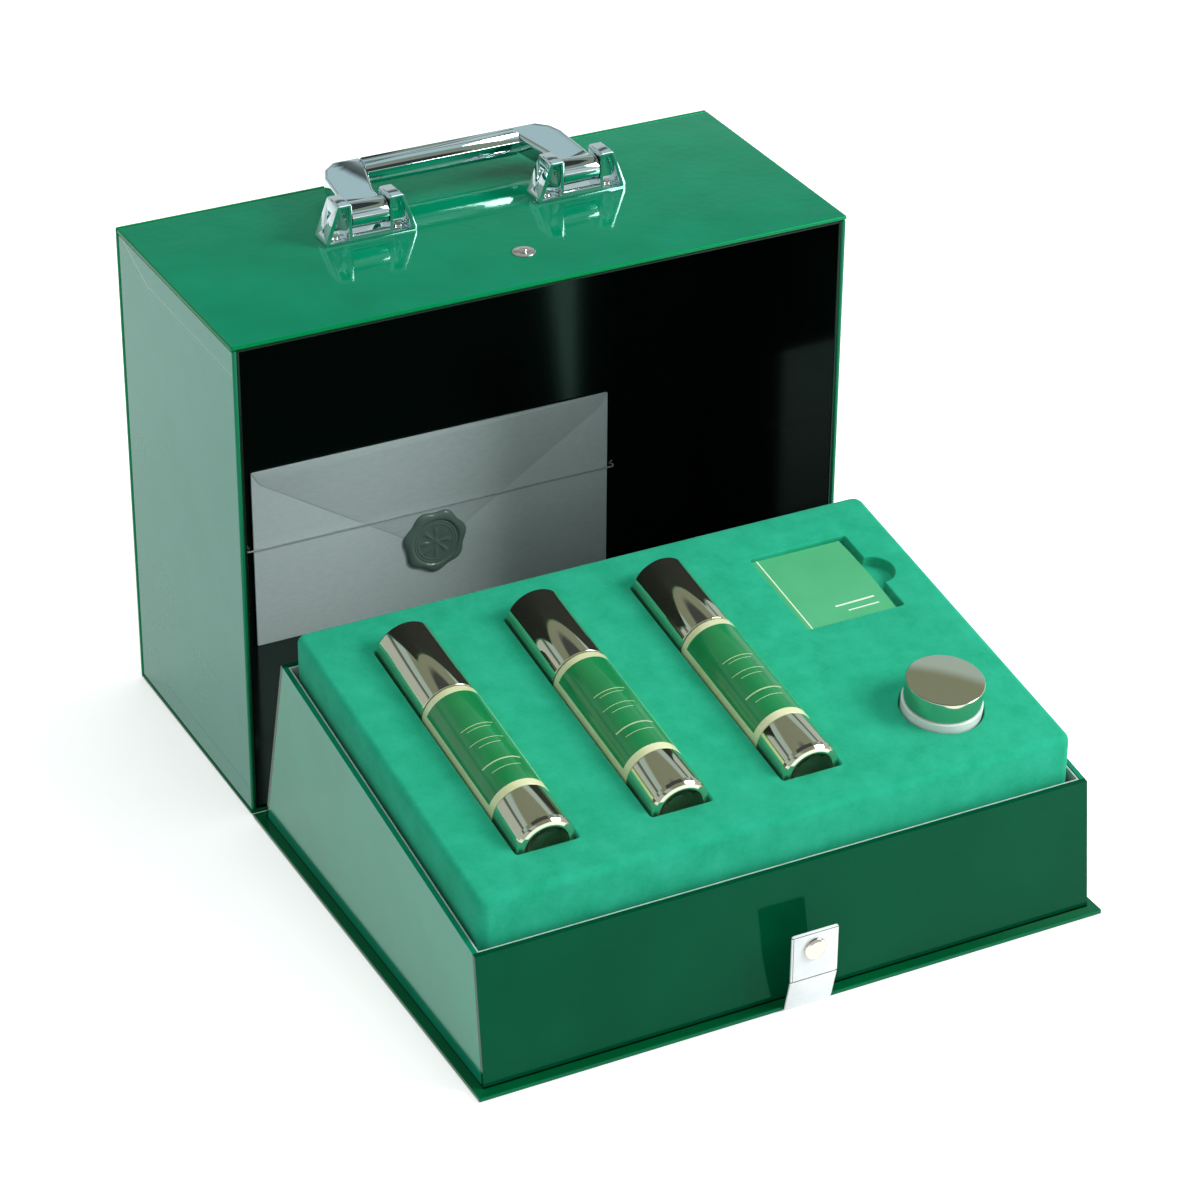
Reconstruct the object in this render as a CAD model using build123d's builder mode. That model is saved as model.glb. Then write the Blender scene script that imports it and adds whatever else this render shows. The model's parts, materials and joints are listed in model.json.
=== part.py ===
from build123d import *
import math
import os

os.makedirs("parts", exist_ok=True)

# Driving dimensions in millimetres. X runs across the case, +Y to its back, +Z up.
# The origin is the middle of the face that the case stands on.
case_width = 350.0
case_depth = 157.0
case_height = 274.0
board = 2.5
lining = 1.5
paper = 0.3
board_round = 0.5
side_inset = 0.5
lining_set_back = 0.6

# The door folds about the case's front bottom edge. Closed, it stands just in front of the case.
door_gap = 0.3
tail_deep = 20.0
tail_recess = 0.9

# The tray's front and rear walls lean inwards, so that they clear the case as the door swings.
tray_half = 169.9
front_foot_reach = 270.5
front_rim_reach = 261.8
front_rim_height = 73.0
rear_foot_reach = 8.0
rear_rim_reach = 36.5
rear_rim_height = 110.5
floor_board = 1.5
tray_lining_thick = 0.8
tray_lining_gap = 0.4

# The foam's top is a plane that rises towards the case.
foam_half = 164.2
foam_front_reach = 255.2
foam_rear_reach = 41.0
foam_front_top = 97.0
foam_slope = 0.155
foam_thick = 40.0
foam_edge_round = 4.0
foam_corner_round = 6.0

# Slim pump bottles, lying half sunk in the foam. Places go up the slope from the foam's front edge.
bottle_radius = 16.0
bottle_skin = 0.1
bottle_xs = (-116.0, -43.7, 28.6)
bottle_foot = 26.0
bottle_sink = 1.0
bottle_clear = 0.8
base_length = 27.5
shoulder = 108.0
bottle_length = 162.2
pump_travel = 4.0

# The jar and the booklet, each with its place across the foam and up its slope.
jar_place = (114.5, 46.0)
jar_radius = 20.9
jar_depth = 29.0
jar_clear = 0.8
pocket_place = (110.0, 155.5)
pocket_size = (57.4, 62.8)
pocket_depth = 6.0
booklet_size = (53.4, 62.0, 4.0)
booklet_clear = 0.4
notch_radius = 11.0

# The folding handle and its two brackets on the case's top.
bracket_x = 61.2
bracket_reach = 91.0
bracket_deep = 14.0
bracket_foot = 25.75
ear_gap = 10.8
ear_top = 18.4
ear_height = 22.0
plate = 1.6
pin_radius = 2.0
pin_height = 12.5
pin_clear = 0.06
pin_chamfer = 0.4
knuckle_radius = 7.0
knuckle_half = 10.3
handle_tilt = 5.0
grip_reach = 40.6
grip_radius = 7.5
grip_half = 45.0
rod_radius = 3.0
rod_into_arm = 12.0
arm_thick = 11.0
rivet_x = 18.0
rivet_radius = 1.6
rivet_head = 2.6

# The press stud and the strap that closes over it.
strap_x = 2.5
stud_reach = 35.0
stud_flange = 6.2
stud_flange_thick = 0.7
stud_height = 1.6
stud_bulb = 2.1
stud_shank = 1.3
strap_width = 26.0
strap_thick = 1.2
strap_gap = 0.4
strap_lower_length = 20.0
strap_upper_length = 27.0
strap_lean = 14.0
strap_cap_along = 17.16

# The envelope stands on the lining behind an elastic cord.
envelope_x = 3.0
envelope_size = (220.0, 1.1, 110.0)
envelope_clear = 0.3
flap = 0.3
seal_radius = 20.0
seal_thick = 2.4
seal_z = 44.8
cord_radius = 0.6
cord_z = 66.0
cord_off_wall = 2.6
cord_bend = 2.0
cord_ends = (-111.5, 117.0)
eyelet_bore = 0.65
eyelet_barrel = 1.8
eyelet_flange = 2.8

# Faces and lines that the sizes above settle
front = -case_depth / 2
back = case_depth / 2
cover_reach = back - board - paper
top_under = case_height - board
side_outer = case_width / 2 - side_inset
side_inner = side_outer - board
inner_half = side_inner - lining
lining_front = front + lining_set_back
lining_face = back - board - lining
axis_y = front - board
axis_z = door_gap
door_rear = axis_y - 0.2
door_front = axis_y - (case_height - axis_z)


def keep(piece, label):
    """Name a finished piece and write it out."""
    piece.part.label = label
    export_step(piece.part, f"parts/{label}.step")


def board_piece(label, xs, ys, zs):
    """A paper-wrapped board between two corners, with its edges rounded."""
    with BuildPart() as piece:
        with BuildSketch(Plane.XY.offset(zs[0])):
            with Locations(((xs[0] + xs[1]) / 2, (ys[0] + ys[1]) / 2)):
                Rectangle(xs[1] - xs[0], ys[1] - ys[0])
        extrude(amount=zs[1] - zs[0])
        fillet(piece.edges(), board_round)
    keep(piece, label)


def profile_piece(label, points, xs):
    """A shape drawn as (y, z) points and carried across from one x to another."""
    with BuildPart() as piece:
        with BuildSketch(Plane.YZ.offset(xs[0])):
            Polygon(*points)
        extrude(amount=xs[1] - xs[0])
    keep(piece, label)


def turned_piece(label, plane, points):
    """A solid of revolution about the plane's Z, from (radius, height) points."""
    with BuildPart() as piece:
        with BuildSketch(Plane(origin=plane.origin, x_dir=plane.x_dir, z_dir=-plane.y_dir)):
            Polygon(*points)
        revolve(axis=Axis(plane.origin, plane.z_dir))
    keep(piece, label)


# Case covers: top, back and bottom boards
bracket_y = front + bracket_reach
stud_y = front + stud_reach
rivet_places = [(side * bracket_x + dx, bracket_y) for side in (-1, 1) for dx in (-rivet_x, rivet_x)]
bracket_places = [(side * bracket_x, bracket_y) for side in (-1, 1)]
backing_thick = 0.8
disc_radius = 4.5
disc_thick = 0.6
with BuildPart() as cover_top_board:
    with BuildSketch(Plane.XY.offset(top_under)):
        with Locations((0, (front + cover_reach) / 2)):
            Rectangle(case_width, cover_reach - front)
    extrude(amount=board)
    fillet(cover_top_board.edges(), board_round)
    with BuildSketch(Plane.XY.offset(top_under)):
        with Locations(*rivet_places):
            Circle(rivet_radius)
        with Locations((strap_x, stud_y)):
            Circle(stud_shank)
    extrude(amount=board, mode=Mode.SUBTRACT)
    with BuildSketch(Plane.XY.offset(top_under)):
        with Locations(*bracket_places):
            Rectangle(2 * bracket_foot, bracket_deep)
    extrude(amount=backing_thick, mode=Mode.SUBTRACT)
    with BuildSketch(Plane.XY.offset(top_under)):
        with Locations((strap_x, stud_y)):
            Circle(disc_radius)
    extrude(amount=disc_thick, mode=Mode.SUBTRACT)
keep(cover_top_board, "cover_top_board")

full_width = (-case_width / 2, case_width / 2)
board_piece("cover_bottom_board", full_width, (front, cover_reach), (0, board))
board_piece("cover_back_board", full_width, (back - board, back), (0, case_height))

# Side boards, and the linings of the case
for side, sign in (("left", -1), ("right", 1)):
    outer_xs = sorted((sign * side_outer, sign * side_inner))
    inner_xs = sorted((sign * side_inner, sign * inner_half))
    board_piece(f"side_board_{side}", outer_xs, (front, cover_reach), (board, top_under))
    board_piece(f"lining_{side}", inner_xs, (lining_front, back - board), (board, top_under))

board_piece("lining_bottom", (-inner_half, inner_half), (lining_front, lining_face), (board, board + lining))

tail_thick = 0.8
with BuildPart() as lining_top:
    with BuildSketch(Plane.XY.offset(top_under - lining)):
        with Locations((0, (lining_front + lining_face) / 2)):
            Rectangle(2 * inner_half, lining_face - lining_front)
    extrude(amount=lining)
    fillet(lining_top.edges(), board_round)
    with BuildSketch(Plane.XY.offset(top_under)):
        with Locations(*rivet_places):
            Circle(rivet_head + 0.3)
    extrude(amount=-(tail_thick + 0.1), mode=Mode.SUBTRACT)
keep(lining_top, "lining_top")

with BuildPart() as lining_back:
    with BuildSketch(Plane.XZ.offset(-(back - board))):
        with Locations((0, case_height / 2)):
            Rectangle(2 * inner_half, top_under - board)
    extrude(amount=lining)
    fillet(lining_back.edges(), board_round)
    with BuildSketch(Plane.XZ.offset(-(back - board))):
        with Locations(*[(x, cord_z) for x in cord_ends]):
            Circle(eyelet_barrel)
    extrude(amount=lining, mode=Mode.SUBTRACT)
keep(lining_back, "lining_back")

# Handle brackets: a foot with two hollow ears, a low bar in front and a pin between the ears
bar_deep = 2.6
bar_height = 4.4
bar_round = 1.0
hole_radius = 0.9
hole_heights = (6.5, 14.0)
ear_edge = 2.5
ear_round = 1.2
hollow_foot = 23.3
hollow_top = 17.3
ear_outline = [
    (ear_gap, 0),
    (bracket_foot, 0),
    (bracket_foot, ear_edge),
    (ear_top, ear_height),
    (ear_gap, ear_height),
]
hollow_outline = [
    (ear_gap + plate, plate),
    (hollow_foot, plate),
    (hollow_top, ear_height - plate),
    (ear_gap + plate, ear_height - plate),
]
for side, sign in (("left", -1), ("right", 1)):
    centre = sign * bracket_x
    face_origin = (centre, bracket_y - bracket_deep / 2, case_height)
    face = Plane(origin=face_origin, x_dir=(1, 0, 0), z_dir=(0, -1, 0))
    with BuildPart() as bracket:
        with BuildSketch(face):
            with Locations((0, plate / 2)):
                Rectangle(2 * bracket_foot, plate)
            for ear in (-1, 1):
                Polygon(*[(ear * x, z) for x, z in ear_outline])
        extrude(amount=-bracket_deep)
        fillet(bracket.edges().filter_by(Axis.Y).group_by(Axis.Z)[-1], ear_round)
        with BuildSketch(face):
            for ear in (-1, 1):
                Polygon(*[(ear * x, z) for x, z in hollow_outline])
        extrude(amount=-bracket_deep, mode=Mode.SUBTRACT)
        with BuildSketch(face):
            with Locations((0, bar_height / 2)):
                Rectangle(2 * ear_gap, bar_height)
        extrude(amount=-bar_deep)
        bar_rims = bracket.edges().filter_by(Axis.X)
        bar_top = case_height + bar_height
        fillet(bar_rims.filter_by_position(Axis.Z, bar_top - 0.1, bar_top + 0.1), bar_round)
        with BuildSketch(Plane.YZ.offset(centre - ear_gap - plate)):
            with Locations((bracket_y, case_height + pin_height)):
                Circle(pin_radius)
        extrude(amount=2 * (ear_gap + plate), mode=Mode.SUBTRACT)
        with BuildSketch(Plane.YZ.offset(centre - bracket_foot)):
            with Locations(*[(bracket_y, case_height + height) for height in hole_heights]):
                Circle(hole_radius)
        extrude(amount=bracket_foot - ear_gap - plate, mode=Mode.SUBTRACT)
        with BuildSketch(Plane.YZ.offset(centre + bracket_foot)):
            with Locations(*[(bracket_y, case_height + height) for height in hole_heights]):
                Circle(hole_radius)
        extrude(amount=-(bracket_foot - ear_gap - plate), mode=Mode.SUBTRACT)
        with BuildSketch(Plane.XY.offset(case_height)):
            with Locations((centre - rivet_x, bracket_y), (centre + rivet_x, bracket_y)):
                Circle(rivet_radius)
        extrude(amount=plate, mode=Mode.SUBTRACT)
    keep(bracket, f"handle_bracket_{side}")

    with BuildPart() as pin:
        with BuildSketch(Plane.YZ.offset(centre - ear_gap - plate)):
            with Locations((bracket_y, case_height + pin_height)):
                Circle(pin_radius)
        extrude(amount=2 * (ear_gap + plate))
        chamfer(pin.edges().filter_by(GeomType.CIRCLE), pin_chamfer)
    keep(pin, f"handle_pin_{side}")

# Four rivets hold the brackets, through the top board and two backing plates
head_thick = 1.2
head_round = 0.8
with BuildPart() as handle_rivets:
    with BuildSketch(Plane.XY.offset(top_under - tail_thick)):
        with Locations(*rivet_places):
            Circle(rivet_head)
    extrude(amount=tail_thick)
    with BuildSketch(Plane.XY.offset(top_under)):
        with Locations(*rivet_places):
            Circle(rivet_radius)
    extrude(amount=board + plate)
    with BuildSketch(Plane.XY.offset(case_height + plate)):
        with Locations(*rivet_places):
            Circle(rivet_head)
    extrude(amount=head_thick)
    fillet(handle_rivets.edges().group_by(Axis.Z)[-1], head_round)
keep(handle_rivets, "handle_rivets")

with BuildPart() as handle_backing_plates:
    with BuildSketch(Plane.XY.offset(top_under)):
        with Locations(*bracket_places):
            Rectangle(2 * bracket_foot, bracket_deep)
        with Locations(*rivet_places):
            Circle(rivet_radius, mode=Mode.SUBTRACT)
    extrude(amount=backing_thick)
keep(handle_backing_plates, "handle_backing_plates")

# Handle: its plane runs from the pins' line to the grip, tilted up a little where it lies folded back
tilt = math.radians(handle_tilt)
pin_line = (0, bracket_y, case_height + pin_height)
handle_plane = Plane(origin=pin_line, x_dir=(1, 0, 0), z_dir=(0, -math.sin(tilt), math.cos(tilt)))


def reach(edge):
    """How far an edge of the handle lies from the pins' line."""
    return handle_plane.to_local_coords(edge.center()).Y


def square_to_handle(edge):
    """How much of an edge's direction is square to the handle's plane, from 0 to 1."""
    return abs(edge.tangent_at(0.5).dot(handle_plane.z_dir))


arm_outline = [
    (bracket_x + knuckle_half, 0),
    (bracket_x + knuckle_half, 9),
    (69.5, 34),
    (66.5, 41.5),
    (59.5, 47.2),
    (grip_half, 47.2),
    (grip_half, 33.5),
    (bracket_x - knuckle_half, 12),
    (bracket_x - knuckle_half, 0),
]
arm_corner_round = 3.0
arm_rim_round = 2.2
for side, sign in (("left", -1), ("right", 1)):
    centre = sign * bracket_x
    with BuildPart() as handle_arm:
        with BuildSketch(handle_plane.offset(-arm_thick / 2)):
            Polygon(*[(sign * x, along) for x, along in arm_outline])
        extrude(amount=arm_thick)
        corners = [e for e in handle_arm.edges() if square_to_handle(e) > 0.99 and reach(e) > 30]
        fillet([e for e in corners if abs(e.center().X) > grip_half + 1], arm_corner_round)
        rims = [e for e in handle_arm.edges() if square_to_handle(e) < 0.01 and reach(e) > 4]
        fillet([e for e in rims if abs(e.center().X) > grip_half + 0.1], arm_rim_round)
        with BuildSketch(Plane.YZ.offset(centre - knuckle_half)):
            with Locations((bracket_y, case_height + pin_height)):
                Circle(knuckle_radius)
        extrude(amount=2 * knuckle_half)
        with BuildSketch(Plane.YZ.offset(centre - knuckle_half)):
            with Locations((bracket_y, case_height + pin_height)):
                Circle(pin_radius + pin_clear)
        extrude(amount=2 * knuckle_half, mode=Mode.SUBTRACT)
        rod_end = handle_plane.from_local_coords((sign * grip_half, grip_reach, 0))
        with BuildSketch(Plane(origin=rod_end, x_dir=(0, 1, 0), z_dir=(sign, 0, 0))):
            Circle(rod_radius)
        extrude(amount=rod_into_arm, mode=Mode.SUBTRACT)
    keep(handle_arm, f"handle_arm_{side}")

# Fluted grip tube, on a steel rod that joins the two arms
flutes = 8
flute_radius = 10.0
flute_depth = 0.45
flute_reach = grip_radius * math.cos(math.pi / flutes) + flute_radius - flute_depth
grip_end = handle_plane.from_local_coords((-grip_half, grip_reach, 0))
grip_plane = Plane(origin=grip_end, x_dir=handle_plane.y_dir, z_dir=(1, 0, 0))
with BuildPart() as handle_grip:
    with BuildSketch(grip_plane):
        Circle(grip_radius)
        with PolarLocations(flute_reach, flutes):
            Circle(flute_radius, mode=Mode.SUBTRACT)
        Circle(rod_radius, mode=Mode.SUBTRACT)
    extrude(amount=2 * grip_half)
keep(handle_grip, "handle_grip")

with BuildPart() as handle_core_rod:
    with BuildSketch(grip_plane.offset(-rod_into_arm)):
        Circle(rod_radius)
    extrude(amount=2 * (grip_half + rod_into_arm))
keep(handle_core_rod, "handle_core_rod")

# Press stud on the case's top, and the disc that it is riveted to under the board
stud_plane = Plane(origin=(strap_x, stud_y, case_height), x_dir=(1, 0, 0), z_dir=(0, 0, 1))
stud_neck = 1.6
stud_outline = [
    (0, disc_thick - board),
    (stud_shank, disc_thick - board),
    (stud_shank, 0),
    (stud_flange - 0.3, 0),
    (stud_flange, 0.2),
    (stud_flange - 0.3, stud_flange_thick - 0.1),
    (3.0, stud_flange_thick),
    (stud_neck, stud_flange_thick),
    (stud_neck, stud_flange_thick + 0.5),
    (stud_bulb, stud_flange_thick + 0.9),
    (stud_bulb - 0.4, stud_flange_thick + stud_height - 0.1),
    (0, stud_flange_thick + stud_height),
]
turned_piece("snap_stud", stud_plane, stud_outline)
stud_rivet_outline = [(0, 0), (disc_radius, 0), (disc_radius, disc_thick), (0, disc_thick)]
turned_piece("snap_stud_rivet", stud_plane.offset(-board), stud_rivet_outline)

# Elastic cord across the back wall, with an eyelet at each end
cord_y = lining_face - cord_off_wall
cord_foot = back - board - 0.1
with BuildPart() as elastic_cord:
    with BuildLine() as cord_path:
        FilletPolyline(
            (cord_ends[0], cord_foot, cord_z),
            (cord_ends[0], cord_y, cord_z),
            (cord_ends[1], cord_y, cord_z),
            (cord_ends[1], cord_foot, cord_z),
            radius=cord_bend,
        )
    with BuildSketch(Plane(origin=cord_path.line @ 0, z_dir=cord_path.line % 0)):
        Circle(cord_radius)
    sweep()
keep(elastic_cord, "elastic_cord")

flange_thick = 0.4
with BuildPart() as elastic_eyelets:
    with BuildSketch(Plane.XZ.offset(-(back - board))):
        with Locations(*[(x, cord_z) for x in cord_ends]):
            Circle(eyelet_barrel)
            Circle(eyelet_bore, mode=Mode.SUBTRACT)
    extrude(amount=lining)
    with BuildSketch(Plane.XZ.offset(-lining_face)):
        with Locations(*[(x, cord_z) for x in cord_ends]):
            Circle(eyelet_flange)
            Circle(eyelet_bore, mode=Mode.SUBTRACT)
    extrude(amount=flange_thick)
    fillet(elastic_eyelets.edges().group_by(Axis.Y)[0].filter_by(lambda e: e.radius > 1), 0.25)
keep(elastic_eyelets, "elastic_eyelets")

# Envelope with its pointed flap, and the wax seal on the flap's tip
envelope_back = lining_face - envelope_clear
envelope_face = envelope_back - envelope_size[1]
envelope_foot = board + lining
envelope_half = envelope_size[0] / 2
with BuildPart() as envelope:
    with BuildSketch(Plane.XZ.offset(-envelope_back)):
        with Locations((envelope_x, envelope_foot + envelope_size[2] / 2)):
            Rectangle(envelope_size[0], envelope_size[2])
    extrude(amount=envelope_size[1])
    flap_top = envelope_foot + envelope_size[2] - 1
    with BuildSketch(Plane.XZ.offset(-envelope_face)):
        Polygon(
            (envelope_x - envelope_half + 1.5, flap_top),
            (envelope_x, seal_z),
            (envelope_x + envelope_half - 1.5, flap_top),
        )
    extrude(amount=flap)
keep(envelope, "envelope")

seal_back = envelope_face - flap
seal_waves = 7
seal_wave = 0.9


def seal_edge(angle):
    """The seal's wavy edge at an angle."""
    radius = seal_radius - seal_wave * (1 - math.sin(seal_waves * angle))
    return (envelope_x + radius * math.cos(angle), seal_z + radius * math.sin(angle))


with BuildPart() as wax_seal:
    with BuildSketch(Plane.XZ.offset(-seal_back)):
        with BuildLine():
            Spline(*[seal_edge(math.radians(10 * step)) for step in range(36)], periodic=True)
        make_face()
    extrude(amount=seal_thick)
    with BuildSketch(Plane.XZ.offset(-seal_back + seal_thick)):
        with Locations((envelope_x, seal_z)):
            Circle(seal_radius - 6)
    extrude(amount=-0.9, mode=Mode.SUBTRACT)
keep(wax_seal, "wax_seal")

# Door board, with a shallow recess under its front edge for the strap's glued tail
with BuildPart() as cover_door_board:
    with BuildSketch(Plane.XY):
        with Locations((0, (door_front + door_rear) / 2)):
            Rectangle(case_width, door_rear - door_front)
    extrude(amount=board)
    fillet(cover_door_board.edges(), board_round)
    with BuildSketch(Plane.XY):
        with Locations((strap_x, door_front + tail_deep / 2)):
            Rectangle(strap_width + 0.4, tail_deep)
    extrude(amount=tail_recess, mode=Mode.SUBTRACT)
keep(cover_door_board, "cover_door_board")

# Paper joint between the bottom board and the door board
board_edge = case_width / 2 - board_round
with BuildPart() as door_hinge_strip:
    with BuildSketch(Plane.XY):
        with Locations((0, (front + door_rear) / 2)):
            Rectangle(2 * board_edge, front - door_rear)
    extrude(amount=paper)
keep(door_hinge_strip, "door_hinge_strip")

# Tray walls on the door board. A wall line is (y, z) at its foot and at its rim.
front_foot = (front - front_foot_reach, board)
front_rim = (front - front_rim_reach, front_rim_height)
rear_foot = (front - rear_foot_reach, board)
rear_rim = (front - rear_rim_reach, rear_rim_height)
front_lean = (front_rim[0] - front_foot[0]) / (front_rim[1] - board)
rear_lean = (rear_foot[0] - rear_rim[0]) / (rear_rim[1] - board)
rim_slope = (rear_rim[1] - front_rim[1]) / (rear_rim[0] - front_rim[0])


def tray_outline(inset, foot, drop):
    """The tray seen from its end: its wall lines moved in by inset, from foot up to drop below the rim."""
    front_in = inset * math.hypot(1, front_lean)
    rear_in = inset * math.hypot(1, rear_lean)
    front_top = front_rim[1] + (front_in * rim_slope - drop) / (1 - front_lean * rim_slope)
    rear_top = rear_rim[1] - (rear_in * rim_slope + drop) / (1 + rear_lean * rim_slope)
    return [
        (front_foot[0] + front_in + (foot - board) * front_lean, foot),
        (rear_foot[0] - rear_in - (foot - board) * rear_lean, foot),
        (rear_foot[0] - rear_in - (rear_top - board) * rear_lean, rear_top),
        (front_foot[0] + front_in + (front_top - board) * front_lean, front_top),
    ]


outer = tray_outline(0, board, 0)
inner = tray_outline(board, board, 0)
tray_inner = tray_half - board
floor_top = board + floor_board
profile_piece("tray_wall_front", [outer[0], inner[0], inner[3], outer[3]], (-tray_half, tray_half))
profile_piece("tray_wall_rear", [outer[1], outer[2], inner[2], inner[1]], (-tray_half, tray_half))
profile_piece("tray_wall_left", inner, (-tray_half, -tray_inner))
profile_piece("tray_wall_right", inner, (tray_inner, tray_half))

floor_outline = [inner[0], inner[1], (inner[1][0] - 0.5, floor_top), (inner[0][0] + 0.3, floor_top)]
profile_piece("tray_floor", floor_outline, (-tray_inner, tray_inner))

rim_drop = 0.4
lining_inset = board + tray_lining_gap
lining_half = tray_inner - tray_lining_gap
with BuildPart() as tray_lining:
    with BuildSketch(Plane.YZ.offset(-lining_half)):
        Polygon(*tray_outline(lining_inset, floor_top, rim_drop))
    extrude(amount=2 * lining_half)
    hollow_half = lining_half - tray_lining_thick
    with BuildSketch(Plane.YZ.offset(-hollow_half)):
        Polygon(*tray_outline(lining_inset + tray_lining_thick, floor_top - 1, -1))
    extrude(amount=2 * hollow_half, mode=Mode.SUBTRACT)
keep(tray_lining, "tray_lining")

# Foam: a wedge that fills the tray, and the shaped insert on top of it
foam_front = front - foam_front_reach
foam_rear = front - foam_rear_reach
foam_angle = math.atan(foam_slope)
foam_drop = foam_thick / math.cos(foam_angle)
foam_plane = Plane(
    origin=(0, foam_front, foam_front_top),
    x_dir=(1, 0, 0),
    z_dir=(0, -math.sin(foam_angle), math.cos(foam_angle)),
)


def foam_top(y):
    """Height of the foam's top at y."""
    return foam_front_top + (y - foam_front) * foam_slope


wedge_front = foam_front - 1.3
wedge_rear = foam_rear + 4.0
wedge_foot = 2.0
lined = tray_outline(lining_inset + tray_lining_thick + wedge_foot, floor_top, 0)
wedge_outline = [
    lined[0],
    lined[1],
    (wedge_rear, foam_top(wedge_rear) - foam_drop),
    (wedge_front, foam_top(wedge_front) - foam_drop),
]
profile_piece("foam_base", wedge_outline, (-foam_half, foam_half))

bed_middle = bottle_foot + bottle_length / 2
bed_size = (2 * (bottle_radius + bottle_clear), bottle_length + 2 * bottle_clear)
bed_depth = bottle_radius + bottle_sink + 0.3
with BuildPart() as foam_insert:
    with BuildSketch(Plane.YZ.offset(-foam_half)):
        Polygon(
            (foam_front, foam_front_top - foam_drop),
            (foam_rear, foam_top(foam_rear) - foam_drop),
            (foam_rear, foam_top(foam_rear)),
            (foam_front, foam_front_top),
        )
    extrude(amount=2 * foam_half)
    fillet(foam_insert.edges().filter_by(Axis.Z), foam_corner_round)
    fillet(foam_insert.faces().sort_by(Axis.Z)[-1].edges(), foam_edge_round)
    with BuildSketch(foam_plane):
        with Locations(*[(x, bed_middle) for x in bottle_xs]):
            Rectangle(*bed_size)
    extrude(amount=-bed_depth, mode=Mode.SUBTRACT)
    with BuildSketch(foam_plane):
        with Locations(jar_place):
            Circle(jar_radius + jar_clear)
    extrude(amount=-(jar_depth + 0.5), mode=Mode.SUBTRACT)
    with BuildSketch(foam_plane):
        with Locations(pocket_place):
            Rectangle(*pocket_size)
        with Locations((pocket_place[0] + pocket_size[0] / 2, pocket_place[1])):
            Circle(notch_radius)
    extrude(amount=-pocket_depth, mode=Mode.SUBTRACT)
keep(foam_insert, "foam_insert")

# Three pump bottles: heights here go from the foot of the base along the bottle's axis
shell = bottle_radius - bottle_skin
cup_floor = 6.2
cup_inner = 14.7
body_foot = 6.3
neck_radius = 12.5
neck_top = 111.5
collar_top = 126.0
stem_radius = 2.5
stem_top = 136.0
stem_bore = stem_radius + 0.06
cap_inner = shell - 1.4
base_outline = [
    (0, 4.0),
    (9.0, 3.0),
    (13.2, 0.7),
    (14.2, 0),
    (14.9, 0),
    (shell, 1.4),
    (shell, base_length),
    (cup_inner, base_length),
    (cup_inner, cup_floor),
    (0, cup_floor),
]
body_outline = [
    (0, body_foot),
    (cup_inner - 0.1, body_foot),
    (cup_inner - 0.1, base_length + 0.2),
    (bottle_radius, base_length + 0.2),
    (bottle_radius, shoulder - 1.0),
    (bottle_radius - 1.0, shoulder),
    (neck_radius, shoulder),
    (neck_radius, neck_top),
    (10.5, neck_top),
    (10.5, shoulder - 2.5),
    (13.2, shoulder - 5.0),
    (13.2, body_foot + 1.6),
    (0, body_foot + 1.6),
]
pump_outline = [
    (0, shoulder - 14),
    (6.0, shoulder - 14),
    (6.0, shoulder - 2.0),
    (10.4, shoulder - 2.0),
    (10.4, neck_top + 0.1),
    (neck_radius + 0.1, neck_top + 0.1),
    (neck_radius + 0.1, shoulder + 0.6),
    (cap_inner - 0.1, shoulder + 0.6),
    (cap_inner - 0.1, shoulder + 8.0),
    (13.4, shoulder + 8.6),
    (13.4, collar_top),
    (stem_radius, collar_top),
    (stem_radius, stem_top),
    (0, stem_top),
]
actuator_radius = 12.4
actuator_foot = collar_top + pump_travel + 0.5
actuator_top = 156.5
stem_room = stem_top + pump_travel + 2.0
actuator_outline = [
    (stem_bore, actuator_foot),
    (actuator_radius, actuator_foot),
    (actuator_radius, actuator_top - 1.0),
    (actuator_radius - 1.0, actuator_top),
    (8.0, actuator_top),
    (0, actuator_top - 0.8),
    (0, stem_room),
    (stem_bore, stem_room),
]
cap_outline = [
    (cap_inner, shoulder + 0.4),
    (shell, shoulder + 0.4),
    (shell, bottle_length - 1.2),
    (shell - 0.4, bottle_length - 0.3),
    (shell - 1.3, bottle_length),
    (0, bottle_length),
    (0, bottle_length - 2.0),
    (cap_inner, bottle_length - 2.0),
]
nozzle_reach = 13.6
nozzle_below_top = 7.0
for number, x in enumerate(bottle_xs, start=1):
    foot = foam_plane.from_local_coords((x, bottle_foot, -bottle_sink))
    bottle = Plane(origin=foot, x_dir=(1, 0, 0), z_dir=foam_plane.y_dir)
    turned_piece(f"bottle_{number}_base", bottle, base_outline)
    turned_piece(f"bottle_{number}_body", bottle, body_outline)
    turned_piece(f"bottle_{number}_pump", bottle, pump_outline)
    turned_piece(f"bottle_{number}_cap", bottle, cap_outline)
    with BuildPart() as bottle_actuator:
        with BuildSketch(Plane(origin=foot, x_dir=(1, 0, 0), z_dir=-bottle.y_dir)):
            Polygon(*actuator_outline)
        revolve(axis=Axis(bottle.origin, bottle.z_dir))
        nozzle = bottle.from_local_coords((0, 0, actuator_top - nozzle_below_top))
        nozzle_plane = Plane(origin=nozzle, x_dir=(1, 0, 0), z_dir=foam_plane.z_dir)
        with BuildSketch(nozzle_plane.offset(actuator_radius - 1.4)):
            Circle(2.2)
        extrude(amount=nozzle_reach - actuator_radius + 1.4)
        with BuildSketch(nozzle_plane.offset(nozzle_reach)):
            Circle(0.6)
        extrude(amount=-1.0, mode=Mode.SUBTRACT)
    keep(bottle_actuator, f"bottle_{number}_actuator")

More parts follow.
